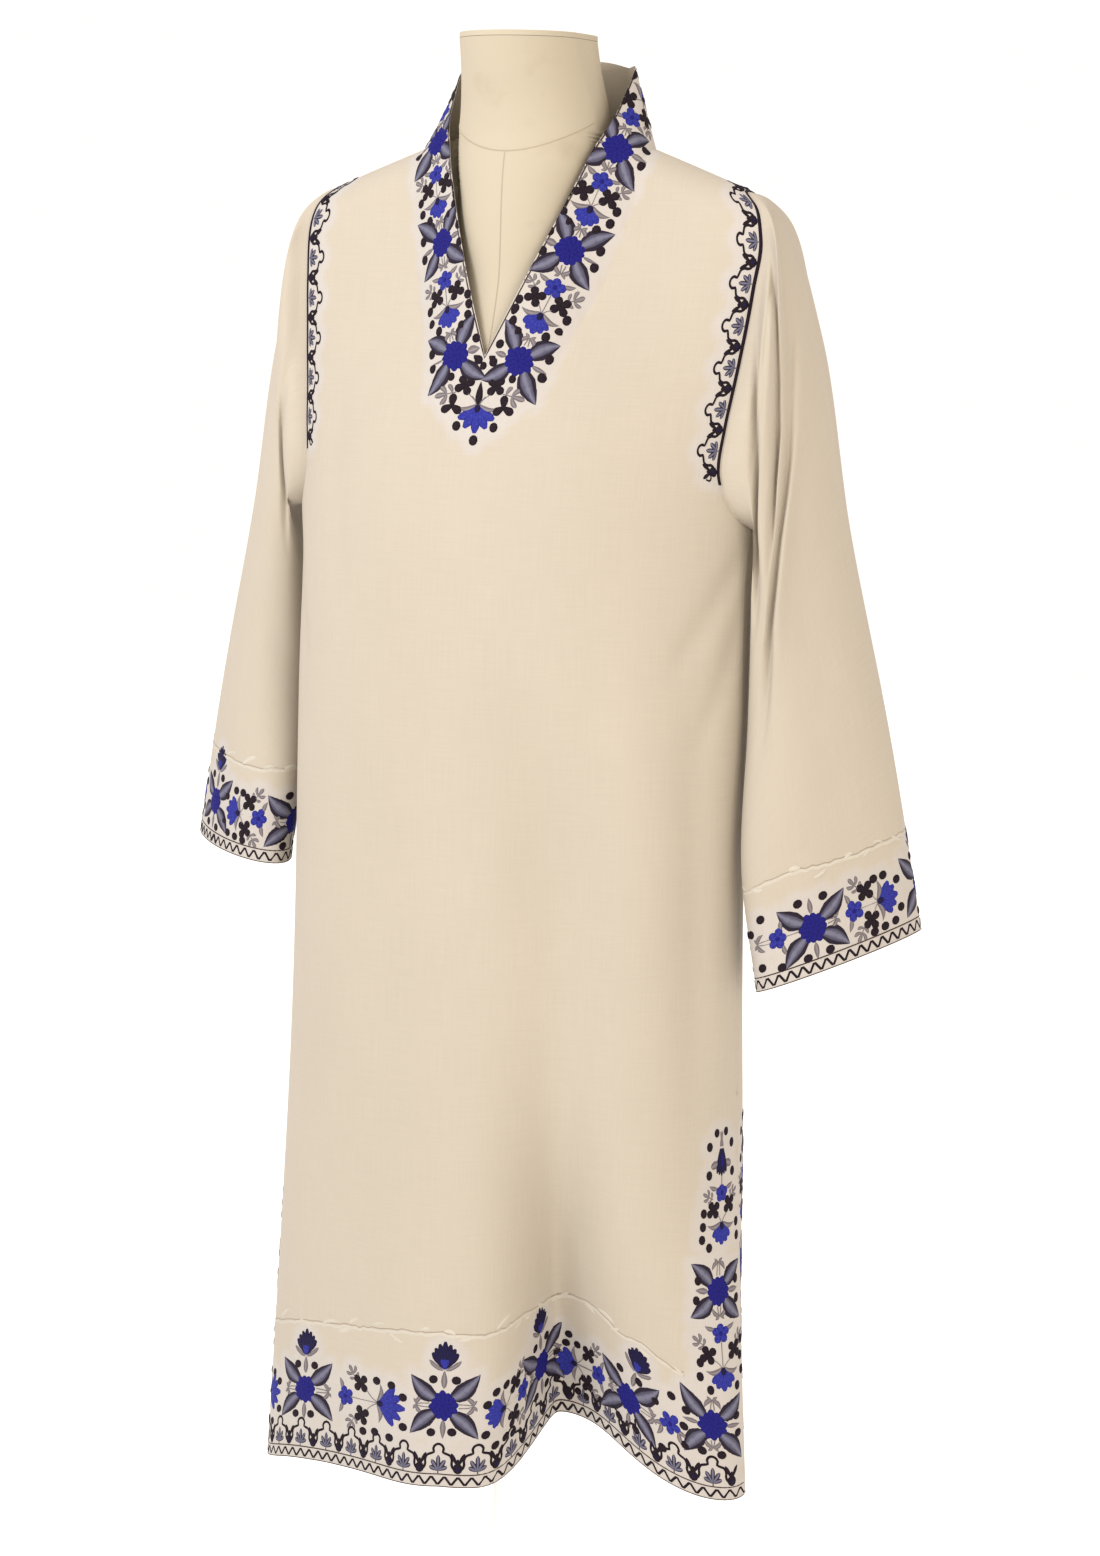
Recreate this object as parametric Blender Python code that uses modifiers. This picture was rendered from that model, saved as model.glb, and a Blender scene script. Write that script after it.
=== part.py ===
"""Kurta on a dress form: the cut pieces of cloth as thin walls over a plain limbless form on a stand.

Metres, +Z up. The front faces -Y and the wearer's left is +X. The origin is the centre of the
stand's underside, on the floor. A 'drop' is a height measured down from the neck point, where
the shoulder seam meets the collar. Tables hold one row for each section, place or fold.
"""
import math

import bmesh
import bpy
import numpy as np

# Driving dimensions
NECK_POINT_HEIGHT = 1.400
CLOTH_WALL = 0.0015
SEAM_GAP = 0.0003
UNDERARM_DROP = 0.286
SLIT_TOP_DROP = 0.745
NECK_POINT_HALF_WIDTH = 0.095
SHOULDER_SLOPE = 0.40
SHOULDER_SOFTNESS = 0.04
SHOULDER_ROUND = 0.028
SHOULDER_SEAM_Y = 0.025

# How finely the walls are divided. The yoke's rows run from the underarm to the shoulder, by the
# share of the armhole, closer where the cloth turns over the shoulder; the neck row is the one
# whose inner end is the neckline's lowest point
HALF_COLUMNS = 13
SKIRT_ROWS = 13
COLLAR_ROWS = 3
SLEEVE_ROWS = 12
SLEEVE_ROW_SPREAD = 1.25
YOKE_CLIMBS = (0.06, 0.14, 0.24, 0.36, 0.48, 0.60, 0.70, 0.79, 0.86, 0.915, 0.957, 0.980, 0.995, 1.0)
YOKE_ROWS = len(YOKE_CLIMBS)
NECK_ROW = {-1: 3, 1: 9}
ROW_SAMPLES = 90

# Stand
BASE_RADIUS = 0.180
BASE_HEIGHT = 0.018
BASE_BEVEL = 0.004
POLE_RADIUS = 0.0125
FORM_BOTTOM_DROP = 0.760
NECK_TOP_DROP = -0.080
CAP_HEIGHT = 0.004
TOUCH_GAP = 0.0003

COLLECTION_NAME = "kurta_on_dress_form"


def table(columns, rows):
    """Turn a table's rows into one array for each named column."""
    return {name: np.array(values, float) for name, values in zip(columns, zip(*rows))}


# Plan of the whole cloth at each drop: half width at the side seam, and where that seam lies
BODY = table(
    ("drop", "half_width", "side_y"),
    (
        (0.000, 0.215, 0.025),
        (0.070, 0.212, 0.024),
        (0.160, 0.206, 0.014),
        (0.250, 0.198, 0.002),
        (0.286, 0.1945, -0.003),
        (0.450, 0.192, -0.005),
        (0.670, 0.194, -0.006),
        (0.850, 0.201, -0.008),
        (1.000, 0.208, -0.010),
        (1.120, 0.215, -0.010),
    ),
)

# Distance of the centre front and back from the shoulder line, by how far below the shoulder
# line a place is, and how flat (spread) and how round at the side each section is
FRONT = table(
    ("below", "reach", "spread", "roundness"),
    (
        (0.000, 0.000, 4.0, 4.0),
        (0.031, 0.004, 3.8, 3.6),
        (0.068, 0.017, 3.4, 3.0),
        (0.110, 0.032, 3.0, 2.4),
        (0.148, 0.051, 2.7, 1.9),
        (0.186, 0.072, 2.6, 1.6),
        (0.217, 0.087, 2.6, 1.35),
        (0.246, 0.094, 2.6, 1.30),
        (0.300, 0.105, 2.5, 1.35),
        (0.380, 0.110, 2.3, 1.6),
        (0.600, 0.114, 2.1, 1.9),
        (0.850, 0.121, 2.1, 2.0),
        (1.140, 0.130, 2.1, 2.0),
    ),
)
BACK = table(
    ("below", "reach", "spread", "roundness"),
    (
        (0.000, 0.000, 4.0, 4.0),
        (0.030, 0.003, 3.8, 3.6),
        (0.070, 0.015, 3.4, 3.2),
        (0.120, 0.029, 3.0, 2.8),
        (0.180, 0.041, 2.8, 2.5),
        (0.250, 0.049, 2.6, 2.2),
        (0.320, 0.050, 2.5, 2.0),
        (0.450, 0.045, 2.3, 2.0),
        (0.700, 0.045, 2.2, 2.0),
        (1.140, 0.055, 2.1, 2.0),
    ),
)

# Hem: drop of the lower edge by the share of the way from the centre to the side
FRONT_HEM = table(
    ("share", "drop"),
    ((0.00, 1.056), (0.45, 1.062), (0.80, 1.072), (1.00, 1.075)),
)
BACK_HEM = table(
    ("share", "drop"),
    ((0.00, 1.070), (0.50, 1.073), (1.00, 1.075)),
)
HEM_TILT = 0.022

# Armhole seams of the front and back from the underarm up to the shoulder
FRONT_ARMHOLE = table(
    ("drop", "half_width"),
    (
        (0.286, 0.1945),
        (0.270, 0.184),
        (0.246, 0.177),
        (0.209, 0.179),
        (0.160, 0.185),
        (0.103, 0.191),
        (0.066, 0.193),
        (0.044, 0.187),
        (0.031, 0.174),
    ),
)
BACK_ARMHOLE = table(
    ("drop", "half_width"),
    (
        (0.286, 0.1945),
        (0.272, 0.1925),
        (0.246, 0.1905),
        (0.209, 0.1905),
        (0.160, 0.1915),
        (0.103, 0.193),
        (0.066, 0.193),
        (0.044, 0.187),
        (0.031, 0.174),
    ),
)

# Neckline seam of the front from its lowest point up to the neck point, then of the back
FRONT_NECKLINE = table(
    ("half_width", "drop"),
    (
        (0.000, 0.224),
        (0.016, 0.215),
        (0.032, 0.199),
        (0.050, 0.172),
        (0.064, 0.139),
        (0.077, 0.105),
        (0.088, 0.067),
        (0.094, 0.032),
        (0.095, 0.000),
    ),
)
BACK_NECKLINE = table(
    ("half_width", "drop"),
    ((0.000, 0.014), (0.045, 0.012), (0.078, 0.006), (0.095, 0.000)),
)

# Free edge of the collar and its band, by the share of the neckline seam from the centre back
COLLAR_EDGE = table(
    ("share", "x", "y", "drop"),
    (
        (0.00, 0.000, 0.072, -0.068),
        (0.12, 0.038, 0.065, -0.067),
        (0.21, 0.062, 0.051, -0.062),
        (0.27, 0.073, 0.036, -0.060),
        (0.32, 0.071, 0.014, -0.034),
        (0.45, 0.060, -0.015, 0.002),
        (0.58, 0.047, -0.033, 0.040),
        (0.70, 0.035, -0.047, 0.071),
        (0.82, 0.023, -0.059, 0.101),
        (1.00, 0.000, -0.077, 0.157),
    ),
)

# Sleeve rings: the outer fold, the inner fold, and the half depth between front and back
SLEEVE = table(
    (
        "along", "outer_x", "outer_y", "outer_drop",
        "inner_x", "inner_y", "inner_drop", "half_depth",
    ),
    (
        (0.00, 0.174, 0.025, 0.031, 0.1945, -0.003, 0.286, 0.056),
        (0.05, 0.186, 0.028, 0.038, 0.2015, 0.004, 0.291, 0.057),
        (0.10, 0.194, 0.031, 0.053, 0.2030, 0.009, 0.304, 0.056),
        (0.25, 0.216, 0.038, 0.124, 0.2025, 0.012, 0.350, 0.052),
        (0.50, 0.2555, 0.042, 0.285, 0.2020, 0.008, 0.440, 0.045),
        (0.75, 0.2925, 0.050, 0.445, 0.2030, 0.000, 0.545, 0.040),
        (1.00, 0.3225, 0.058, 0.600, 0.2050, -0.010, 0.645, 0.036),
    ),
)

# The sleeve head leaves the armhole this way (x, front or back, down) and this far before the
# rings above take over, and the right cuff hangs higher by this much at its outer and inner folds
SLEEVE_HEAD_SHARE = 0.22
SLEEVE_HEAD_REACH = 0.28
SLEEVE_HEAD_WAY = (0.93, 0.25, 0.20)
RIGHT_CUFF_LIFT = (0.022, 0.060)

# Soft folds along the sleeves: side, turn from the outer fold by way of the front and its width
# in degrees, where along the sleeve it is full and where it has gone, and its depth
SLEEVE_FOLD_COLUMNS = ("side", "turn", "width", "full", "gone", "depth")
SLEEVE_FOLDS = (
    (1, 122, 22, 0.12, 0.85, 0.012),
    (1, 60, 24, 0.45, 1.00, 0.004),
    (-1, 118, 24, 0.15, 0.80, 0.009),
    (-1, 250, 26, 0.20, 0.90, 0.006),
    (1, 255, 26, 0.20, 0.90, 0.006),
)

# Soft folds of the body cloth. 'across' is the distance from the centre line along the cloth,
# positive towards the wearer's left; 'depth' is inward, and negative for a ridge
FOLD_COLUMNS = (
    "top", "full", "across_top", "across_hem", "width_top",
    "width_hem", "depth_full", "depth_hem", "lift",
)
FRONT_FOLDS = (
    (0.36, 0.95, 0.085, 0.080, 0.042, 0.038, 0.013, 0.094, 0.030),
    (0.40, 0.98, 0.150, 0.138, 0.050, 0.038, 0.000, 0.000, 0.034),
    (0.40, 0.98, 0.020, -0.010, 0.045, 0.045, -0.004, -0.012, 0.000),
    (0.40, 0.98, 0.150, 0.165, 0.040, 0.040, -0.004, -0.008, 0.000),
    (0.45, 1.00, -0.110, -0.120, 0.050, 0.050, 0.003, 0.008, 0.000),
)
BACK_FOLDS = (
    (0.30, 0.95, -0.080, -0.105, 0.040, 0.038, 0.008, 0.030, 0.006),
    (0.30, 0.95, 0.070, 0.090, 0.040, 0.036, 0.007, 0.024, 0.004),
    (0.40, 0.98, 0.000, 0.000, 0.045, 0.050, -0.004, -0.012, 0.000),
    (0.45, 1.00, -0.180, -0.200, 0.035, 0.038, -0.003, -0.010, 0.000),
    (0.45, 1.00, 0.170, 0.190, 0.035, 0.038, -0.003, -0.010, 0.000),
)

# Folds die out over this share of the way to the side seam, and are full from here to here of
# their fall
FOLD_FADE = (0.86, 1.0)
FOLD_UPPER = (0.0, 0.6)
FOLD_LOWER = (0.55, 1.22)

# How far each slit edge swings from the side seam at the hem: (sideways, along Y) by face and side,
# and over which drops and share of the half width the swing grows
SLIT_SWING = {
    (-1, 1): (0.010, -0.022),
    (-1, -1): (-0.003, -0.012),
    (1, 1): (-0.010, 0.018),
    (1, -1): (-0.006, 0.014),
}
SWING_FULL_DROP = 1.06
SWING_FADE = (0.60, 1.0)

# Dress form below the shoulders: half width, centre front and centre back at each drop
TORSO = table(
    ("drop", "half_width", "front_y", "back_y"),
    (
        (-0.10, 0.168, -0.040, 0.070),
        (0.00, 0.167, -0.042, 0.075),
        (0.10, 0.160, -0.060, 0.086),
        (0.20, 0.150, -0.088, 0.090),
        (0.27, 0.148, -0.103, 0.086),
        (0.42, 0.120, -0.082, 0.066),
        (0.60, 0.156, -0.088, 0.082),
        (0.70, 0.158, -0.086, 0.084),
        (0.76, 0.152, -0.082, 0.080),
    ),
)
NECK = table(
    ("drop", "half_width", "middle_y", "front_y", "back_y"),
    (
        (-0.09, 0.0472, -0.018, -0.066, 0.036),
        (-0.06, 0.0505, -0.005, -0.056, 0.046),
        (-0.03, 0.0560, 0.007, -0.046, 0.056),
        (-0.01, 0.0590, 0.010, -0.043, 0.054),
        (0.02, 0.0560, 0.006, -0.048, 0.045),
        (0.04, 0.0530, 0.004, -0.050, 0.044),
        (0.07, 0.0520, 0.002, -0.051, 0.038),
        (0.10, 0.0500, 0.002, -0.053, 0.030),
        (0.13, 0.0500, 0.002, -0.060, 0.020),
        (0.16, 0.0400, 0.000, -0.068, 0.010),
    ),
)
TORSO_SPREAD = 2.5
TORSO_ROUNDNESS = 2.2
SHOULDER_BLEND = 0.012
NECK_BLEND = 0.006
SIDE_TURN = 0.2
FORM_CLEARANCE_TOP = 0.0021
FORM_CLEARANCE_FACE = 0.0050
FORM_CLEARANCE_RISE = 0.03
NECK_FILLET = 0.022
NECK_FALL = 4.0
# Over these drops the neck leaves the shoulders' shape. Above them its sides lie here along Y,
# and its back is a little squarer than an ellipse
NECK_FREE = (-0.045, -0.005)
NECK_SIDE_Y = 0.012
NECK_SQUARENESS = 2.8
FORM_SIDES = 32
FORM_RINGS = (
    (NECK_TOP_DROP, -0.022, 4),
    (-0.022, 0.046, 12),
    (0.046, 0.200, 6),
    (0.200, FORM_BOTTOM_DROP, 9),
)
SOFT_EDGE_ANGLE = math.radians(50)
ROUND_SIDES = 32

CLOTH_COLOUR = (0.83, 0.76, 0.62, 1.0)
FORM_COLOUR = (0.86, 0.79, 0.63, 1.0)
METAL_COLOUR = (0.78, 0.78, 0.77, 1.0)


def smooth_through(knots, values, at):
    """Values on a smooth curve through a table's rows."""
    at = np.clip(np.asarray(at, float), knots[0], knots[-1])
    slopes = np.gradient(values, knots)
    left = np.clip(np.searchsorted(knots, at, side="right") - 1, 0, len(knots) - 2)
    width = knots[left + 1] - knots[left]
    t = (at - knots[left]) / width
    rise = t * t * (3 - 2 * t)
    leave = t * (1 - t) ** 2 * width * slopes[left]
    arrive = t * t * (t - 1) * width * slopes[left + 1]
    return values[left] * (1 - rise) + values[left + 1] * rise + leave + arrive


def read(source, column, at):
    """One column of a table, by the value of the table's first column."""
    return smooth_through(next(iter(source.values())), source[column], at)


def along_curve(source, columns, share):
    """Points on the smooth curve through a table's rows, by the share of its length."""
    rows = np.stack([source[name] for name in columns], 1)
    steps = np.linalg.norm(np.diff(rows, axis=0), axis=1)
    knots = np.concatenate([[0.0], np.cumsum(steps)])
    at = share * knots[-1]
    return np.stack([smooth_through(knots, rows[:, i], at) for i in range(len(columns))], -1)


def ease(value, start, end):
    """A soft step from 0 at the start to 1 at the end."""
    t = np.clip((value - start) / (end - start), 0.0, 1.0)
    return t * t * (3 - 2 * t)


def shoulder_drop(x):
    """Drop of the shoulder line at a distance across."""
    return SHOULDER_SLOPE * (
        np.hypot(x, SHOULDER_SOFTNESS) - math.hypot(NECK_POINT_HALF_WIDTH, SHOULDER_SOFTNESS)
    )


def cloth_y(x, drop, face):
    """Where the unfolded cloth lies; face is -1 for the front and 1 for the back."""
    source = FRONT if face < 0 else BACK
    below = np.maximum(drop - shoulder_drop(x), 0.0)
    rounding = SHOULDER_ROUND * np.sqrt(1 - (1 - np.minimum(below / SHOULDER_ROUND, 1.0)) ** 2)
    middle = SHOULDER_SEAM_Y + face * (rounding + read(source, "reach", below))
    side = read(BODY, "side_y", drop)
    out = np.clip(np.abs(x) / read(BODY, "half_width", drop), 0.0, 1.0)
    fall = (1 - out ** read(source, "spread", below)) ** (1 / read(source, "roundness", below))
    return side + (middle - side) * fall


def row_ends(face, level):
    """Inner and outer (x, drop) of a half row; level runs from the hem 0 over the underarm 1 to
    the shoulder seam 2."""
    if level <= 1.0:
        hem = FRONT_HEM if face < 0 else BACK_HEM
        inner = hem["drop"][0] + (UNDERARM_DROP - hem["drop"][0]) * level
        outer = hem["drop"][-1] + (UNDERARM_DROP - hem["drop"][-1]) * level
        return (0.0, inner), (float(read(BODY, "half_width", outer)), outer)
    climb = level - 1.0
    armhole = FRONT_ARMHOLE if face < 0 else BACK_ARMHOLE
    outer = along_curve(armhole, ("half_width", "drop"), climb)
    neckline = FRONT_NECKLINE if face < 0 else BACK_NECKLINE
    start = YOKE_CLIMBS[NECK_ROW[face] - 1]
    if climb <= start:
        return (0.0, UNDERARM_DROP + (neckline["drop"][0] - UNDERARM_DROP) * climb / start), outer
    return along_curve(neckline, ("half_width", "drop"), (climb - start) / (1 - start)), outer



def half_row(face, level):
    """Dense points of the unfolded half row at +X, and the length along it to each."""
    (inner_x, inner_drop), (outer_x, outer_drop) = row_ends(face, level)
    limit = max(float(read(BODY, "half_width", outer_drop)), outer_x)
    last_turn = math.asin(min(outer_x / limit, 1.0))
    x = limit * np.sin(np.linspace(math.asin(inner_x / limit), last_turn, ROW_SAMPLES))
    share = (x - inner_x) / max(outer_x - inner_x, 1e-9)
    if level <= 1.0:
        hem = FRONT_HEM if face < 0 else BACK_HEM
        hem_drop = read(hem, "drop", share)
        drop = hem_drop + (UNDERARM_DROP - hem_drop) * level
        x = x * read(BODY, "half_width", drop) / limit
    else:
        inner_below = inner_drop - shoulder_drop(inner_x)
        outer_below = outer_drop - shoulder_drop(outer_x)
        drop = inner_below + (outer_below - inner_below) * share + shoulder_drop(x)
    points = np.stack([x, cloth_y(x, drop, face), drop], 1)
    length = np.concatenate([[0.0], np.cumsum(np.linalg.norm(np.diff(points, axis=0), axis=1))])
    return points, length + inner_x


def fold_push(folds, across, drop):
    """How far the folds push the cloth inward, and how far they draw it up."""
    depth, lift = np.zeros_like(across), np.zeros_like(across)
    for row in folds:
        fold = dict(zip(FOLD_COLUMNS, row))
        fall = np.clip((drop - fold["top"]) / (fold["full"] - fold["top"]), 0.0, FOLD_LOWER[1])
        middle = fold["across_top"] + (fold["across_hem"] - fold["across_top"]) * fall
        width = fold["width_top"] + (fold["width_hem"] - fold["width_top"]) * fall
        bell = np.exp(-(((across - middle) / width) ** 2))
        late = ease(fall, *FOLD_LOWER)
        depth += bell * fold["depth_full"] * ease(fall, *FOLD_UPPER) * (1 - late)
        depth += bell * fold["depth_hem"] * late
        lift += bell * fold["lift"] * late
    return depth, lift


def panel_point(face, level, share, side):
    """Outer face of the front or back: share runs from the centre or neckline to the side or
    armhole, and side is 1 on the wearer's left."""
    points, length = half_row(face, level)
    at = length[0] + (length[-1] - length[0]) * np.asarray(share, float)
    x, y, drop = (np.interp(at, length, points[:, i]) for i in range(3))
    slope_x = np.interp(at, length, np.gradient(points[:, 0], length))
    slope_y = np.interp(at, length, np.gradient(points[:, 1], length))
    steep = np.hypot(slope_x, slope_y)
    out_x, out_y = -face * slope_y / steep, face * slope_x / steep
    folds = FRONT_FOLDS if face < 0 else BACK_FOLDS
    push, lift = fold_push(folds, side * at, drop)
    out = at / length[-1]
    push = push * (1 - ease(out, *FOLD_FADE))
    swing = ease(drop, SLIT_TOP_DROP, SWING_FULL_DROP) * ease(out, *SWING_FADE)
    sideways, along_y = SLIT_SWING[face, side]
    x = side * (x - out_x * push + sideways * swing)
    y = y - out_y * push + along_y * swing
    drop = drop - lift - side * HEM_TILT * out * max(1 - level, 0.0)
    return np.stack([x, y, drop], -1)


def panel_grid(face):
    """Vertices and quads of the front or back, from the hem to the shoulder seams."""
    levels = np.concatenate([np.linspace(0, 1, SKIRT_ROWS + 1), 1 + np.array(YOKE_CLIMBS)])
    split_row = SKIRT_ROWS + NECK_ROW[face]
    shares = np.linspace(0, 1, HALF_COLUMNS + 1)
    points, index = [], {}
    for row, level in enumerate(levels):
        for side in (-1, 1):
            for column, point in enumerate(panel_point(face, level, shares, side)):
                if side == 1 and column == 0 and row <= split_row:
                    index[row, side, 0] = index[row, -1, 0]
                    continue
                index[row, side, column] = len(points)
                points.append(point)
    quads = []
    for row in range(len(levels) - 1):
        for side in (-1, 1):
            for column in range(HALF_COLUMNS):
                corner = [
                    index[row, side, column],
                    index[row, side, column + 1],
                    index[row + 1, side, column + 1],
                    index[row + 1, side, column],
                ]
                quads.append(corner if face * side < 0 else corner[::-1])
    return np.array(points), quads, index


def armhole_loop(front, back, side):
    """The armhole's points: down the front from the shoulder to the underarm, then up the back."""
    top = SKIRT_ROWS + YOKE_ROWS
    down = [front[0][front[2][row, side, HALF_COLUMNS]] for row in range(top, SKIRT_ROWS - 1, -1)]
    up = [back[0][back[2][row, side, HALF_COLUMNS]] for row in range(SKIRT_ROWS + 1, top)]
    return np.array(down + up)


def sleeve_ring(along, turn, lift):
    """An ideal ring of a sleeve at +X; the turn starts at the outer fold and goes by the front."""
    outer = np.array([read(SLEEVE, name, along) for name in ("outer_x", "outer_y", "outer_drop")])
    inner = np.array([read(SLEEVE, name, along) for name in ("inner_x", "inner_y", "inner_drop")])
    outer[2] -= lift[0] * along ** 2
    inner[2] -= lift[1] * along ** 2
    ring = (outer + inner) / 2 + np.cos(turn)[:, None] * (outer - inner) / 2
    ring[:, 1] -= read(SLEEVE, "half_depth", along) * np.sin(turn)
    return ring


def sleeve_fold(turn, along, side):
    """How far a sleeve's folds push its ring inward."""
    depth = np.zeros_like(turn)
    for row in SLEEVE_FOLDS:
        fold = dict(zip(SLEEVE_FOLD_COLUMNS, row))
        if fold["side"] != side:
            continue
        bell = np.exp(-(((np.degrees(turn) - fold["turn"]) / fold["width"]) ** 2))
        come = ease(along, 0.0, fold["full"])
        depth += fold["depth"] * bell * come * (1 - ease(along, fold["full"], fold["gone"]))
    return depth


def sleeve_grid(front, back, side):
    """Vertices and quads of a sleeve, from the armhole seam to the cuff."""
    loop = armhole_loop(front, back, side) * (side, 1, 1)
    high, low = loop[:, 2].min(), loop[:, 2].max()
    turn = np.arccos(np.clip(1 - 2 * (loop[:, 2] - high) / (low - high), -1, 1))
    turn[YOKE_ROWS + 1:] = 2 * math.pi - turn[YOKE_ROWS + 1:]
    even = np.linspace(0, 2 * math.pi, len(loop) + 1)[:-1]
    lift = (0.0, 0.0) if side > 0 else RIGHT_CUFF_LIFT
    outward = np.ones((len(turn), 3)) * SLEEVE_HEAD_WAY
    outward[:, 1] *= -np.sin(turn)
    points = []
    for along in (np.arange(SLEEVE_ROWS + 1) / SLEEVE_ROWS) ** SLEEVE_ROW_SPREAD:
        settle = ease(along, 0.0, SLEEVE_HEAD_SHARE)
        now = turn + (even - turn) * settle
        head = loop + outward * along * SLEEVE_HEAD_REACH
        ring = head * (1 - settle) + sleeve_ring(along, now, lift) * settle
        inward = ring.mean(axis=0) - ring
        inward /= np.linalg.norm(inward, axis=1, keepdims=True)
        ring = ring + inward * sleeve_fold(now, along, side)[:, None]
        points.append(ring * (side, 1, 1))
    around = len(loop)
    quads = []
    for row in range(SLEEVE_ROWS):
        for i in range(around):
            corner = [row * around + i, row * around + (i + 1) % around]
            corner += [corner[1] + around, corner[0] + around]
            quads.append(corner if side > 0 else corner[::-1])
    return np.concatenate(points), quads


def collar_grid(front, back):
    """Vertices and quads of the collar and its front band, a ring round the neckline seam."""
    top = SKIRT_ROWS + YOKE_ROWS
    front_split = SKIRT_ROWS + NECK_ROW[-1]
    back_split = SKIRT_ROWS + NECK_ROW[1]
    seam = [back[0][back[2][row, 1, 0]] for row in range(back_split, top)]
    seam += [front[0][front[2][row, 1, 0]] for row in range(top, front_split - 1, -1)]
    seam = np.array(seam)
    length = np.concatenate([[0.0], np.cumsum(np.linalg.norm(np.diff(seam, axis=0), axis=1))])
    share = length / length[-1]
    edge = np.stack([read(COLLAR_EDGE, name, share) for name in ("x", "y", "drop")], -1)
    edge[0, 0] = edge[-1, 0] = 0.0
    ring = list(range(len(seam))) + list(range(len(seam) - 2, 0, -1))
    points = []
    for row in range(COLLAR_ROWS + 1):
        line = seam + (edge - seam) * row / COLLAR_ROWS
        for place, i in enumerate(ring):
            points.append(line[i] * (1 if place < len(seam) else -1, 1, 1))
    around = len(ring)
    quads = []
    for row in range(COLLAR_ROWS):
        for i in range(around):
            corner = [row * around + i, row * around + (i + 1) % around]
            corner += [corner[1] + around, corner[0] + around]
            quads.append(corner[::-1])
    return np.array(points), quads


def place_key(point):
    """Name for a place, the same for the seam vertices that two pieces share."""
    return tuple(np.round(point, 5))


def face_normal(points, quad):
    """Area-weighted outward direction of a quad."""
    a, b, c, d = (points[i] for i in quad)
    return np.cross(c - a, d - b)


def shared_normals(pieces):
    """Outward direction at each place, from the faces of all the pieces that meet there."""
    total = {}
    for points, quads in pieces.values():
        for quad in quads:
            normal = face_normal(points, quad)
            for i in quad:
                key = place_key(points[i])
                total[key] = total.get(key, 0) + normal
    return {key: value / np.linalg.norm(value) for key, value in total.items()}


def shared_places(pieces):
    """The places that vertices of more than one piece have."""
    owners = {}
    for name, (points, _) in pieces.items():
        for point in points:
            owners.setdefault(place_key(point), set()).add(name)
    return {key for key, names in owners.items() if len(names) > 1}


def to_world(points):
    """Points with a drop, as points with a height above the floor."""
    return np.stack([points[:, 0], points[:, 1], NECK_POINT_HEIGHT - points[:, 2]], 1)


def cloth_wall(name, points, quads, normals, seams):
    """One closed wall: the outer face, the inner face CLOTH_WALL inside it, and the edges."""
    keys = [place_key(point) for point in points]
    sides = {(a, b) for quad in quads for a, b in zip(quad, quad[1:] + quad[:1])}
    edges = sorted((a, b) for a, b in sides if (b, a) not in sides)
    inward = np.zeros_like(points)
    for a, b in edges:
        way = np.cross(normals[keys[a]] + normals[keys[b]], points[b] - points[a])
        for i in (a, b):
            inward[i] += way / np.linalg.norm(way)
    outer, inner = points.copy(), points.copy()
    for i, key in enumerate(keys):
        if key in seams:
            outer[i] += inward[i] / np.linalg.norm(inward[i]) * SEAM_GAP * 0.6
        inner[i] = outer[i] - normals[key] * CLOTH_WALL
    count = len(points)
    faces = [list(quad) for quad in quads]
    faces += [[i + count for i in quad[::-1]] for quad in quads]
    faces += [[b, a, a + count, b + count] for a, b in edges]
    return mesh_object(name, np.concatenate([outer, inner]), faces)


def mesh_object(name, points, faces):
    """A mesh object in the part's collection, with outward faces and smooth shading."""
    mesh = bpy.data.meshes.new(name)
    mesh.from_pydata([tuple(point) for point in points], [], faces)
    mesh.validate()
    made = bpy.data.objects.new(name, mesh)
    bpy.data.collections[COLLECTION_NAME].objects.link(made)
    work = bmesh.new()
    work.from_mesh(mesh)
    bmesh.ops.triangulate(work, faces=work.faces[:])
    bmesh.ops.recalc_face_normals(work, faces=work.faces[:])
    work.to_mesh(mesh)
    work.free()
    mesh.shade_smooth()
    mesh.set_sharp_from_angle(angle=SOFT_EDGE_ANGLE)
    return made


def build_cloth():
    """The five cut pieces, with parted seams."""
    front, back = panel_grid(-1), panel_grid(1)
    pieces = {
        "front_panel": front[:2],
        "back_panel": back[:2],
        "sleeve_left": sleeve_grid(front, back, 1),
        "sleeve_right": sleeve_grid(front, back, -1),
        "collar_band": collar_grid(front, back),
    }
    pieces = {name: (to_world(points), quads) for name, (points, quads) in pieces.items()}
    normals, seams = shared_normals(pieces), shared_places(pieces)
    return [cloth_wall(name, *grid, normals, seams) for name, grid in pieces.items()]


def soft_min(a, b, blend):
    """The smaller of two values, with a rounded change from one to the other."""
    mix = np.clip(0.5 + 0.5 * (b - a) / blend, 0.0, 1.0)
    return b * (1 - mix) + a * mix - blend * mix * (1 - mix)


def soft_max(a, b, blend):
    """The larger of two values, with a rounded change from one to the other."""
    return -soft_min(-a, -b, blend)


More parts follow.
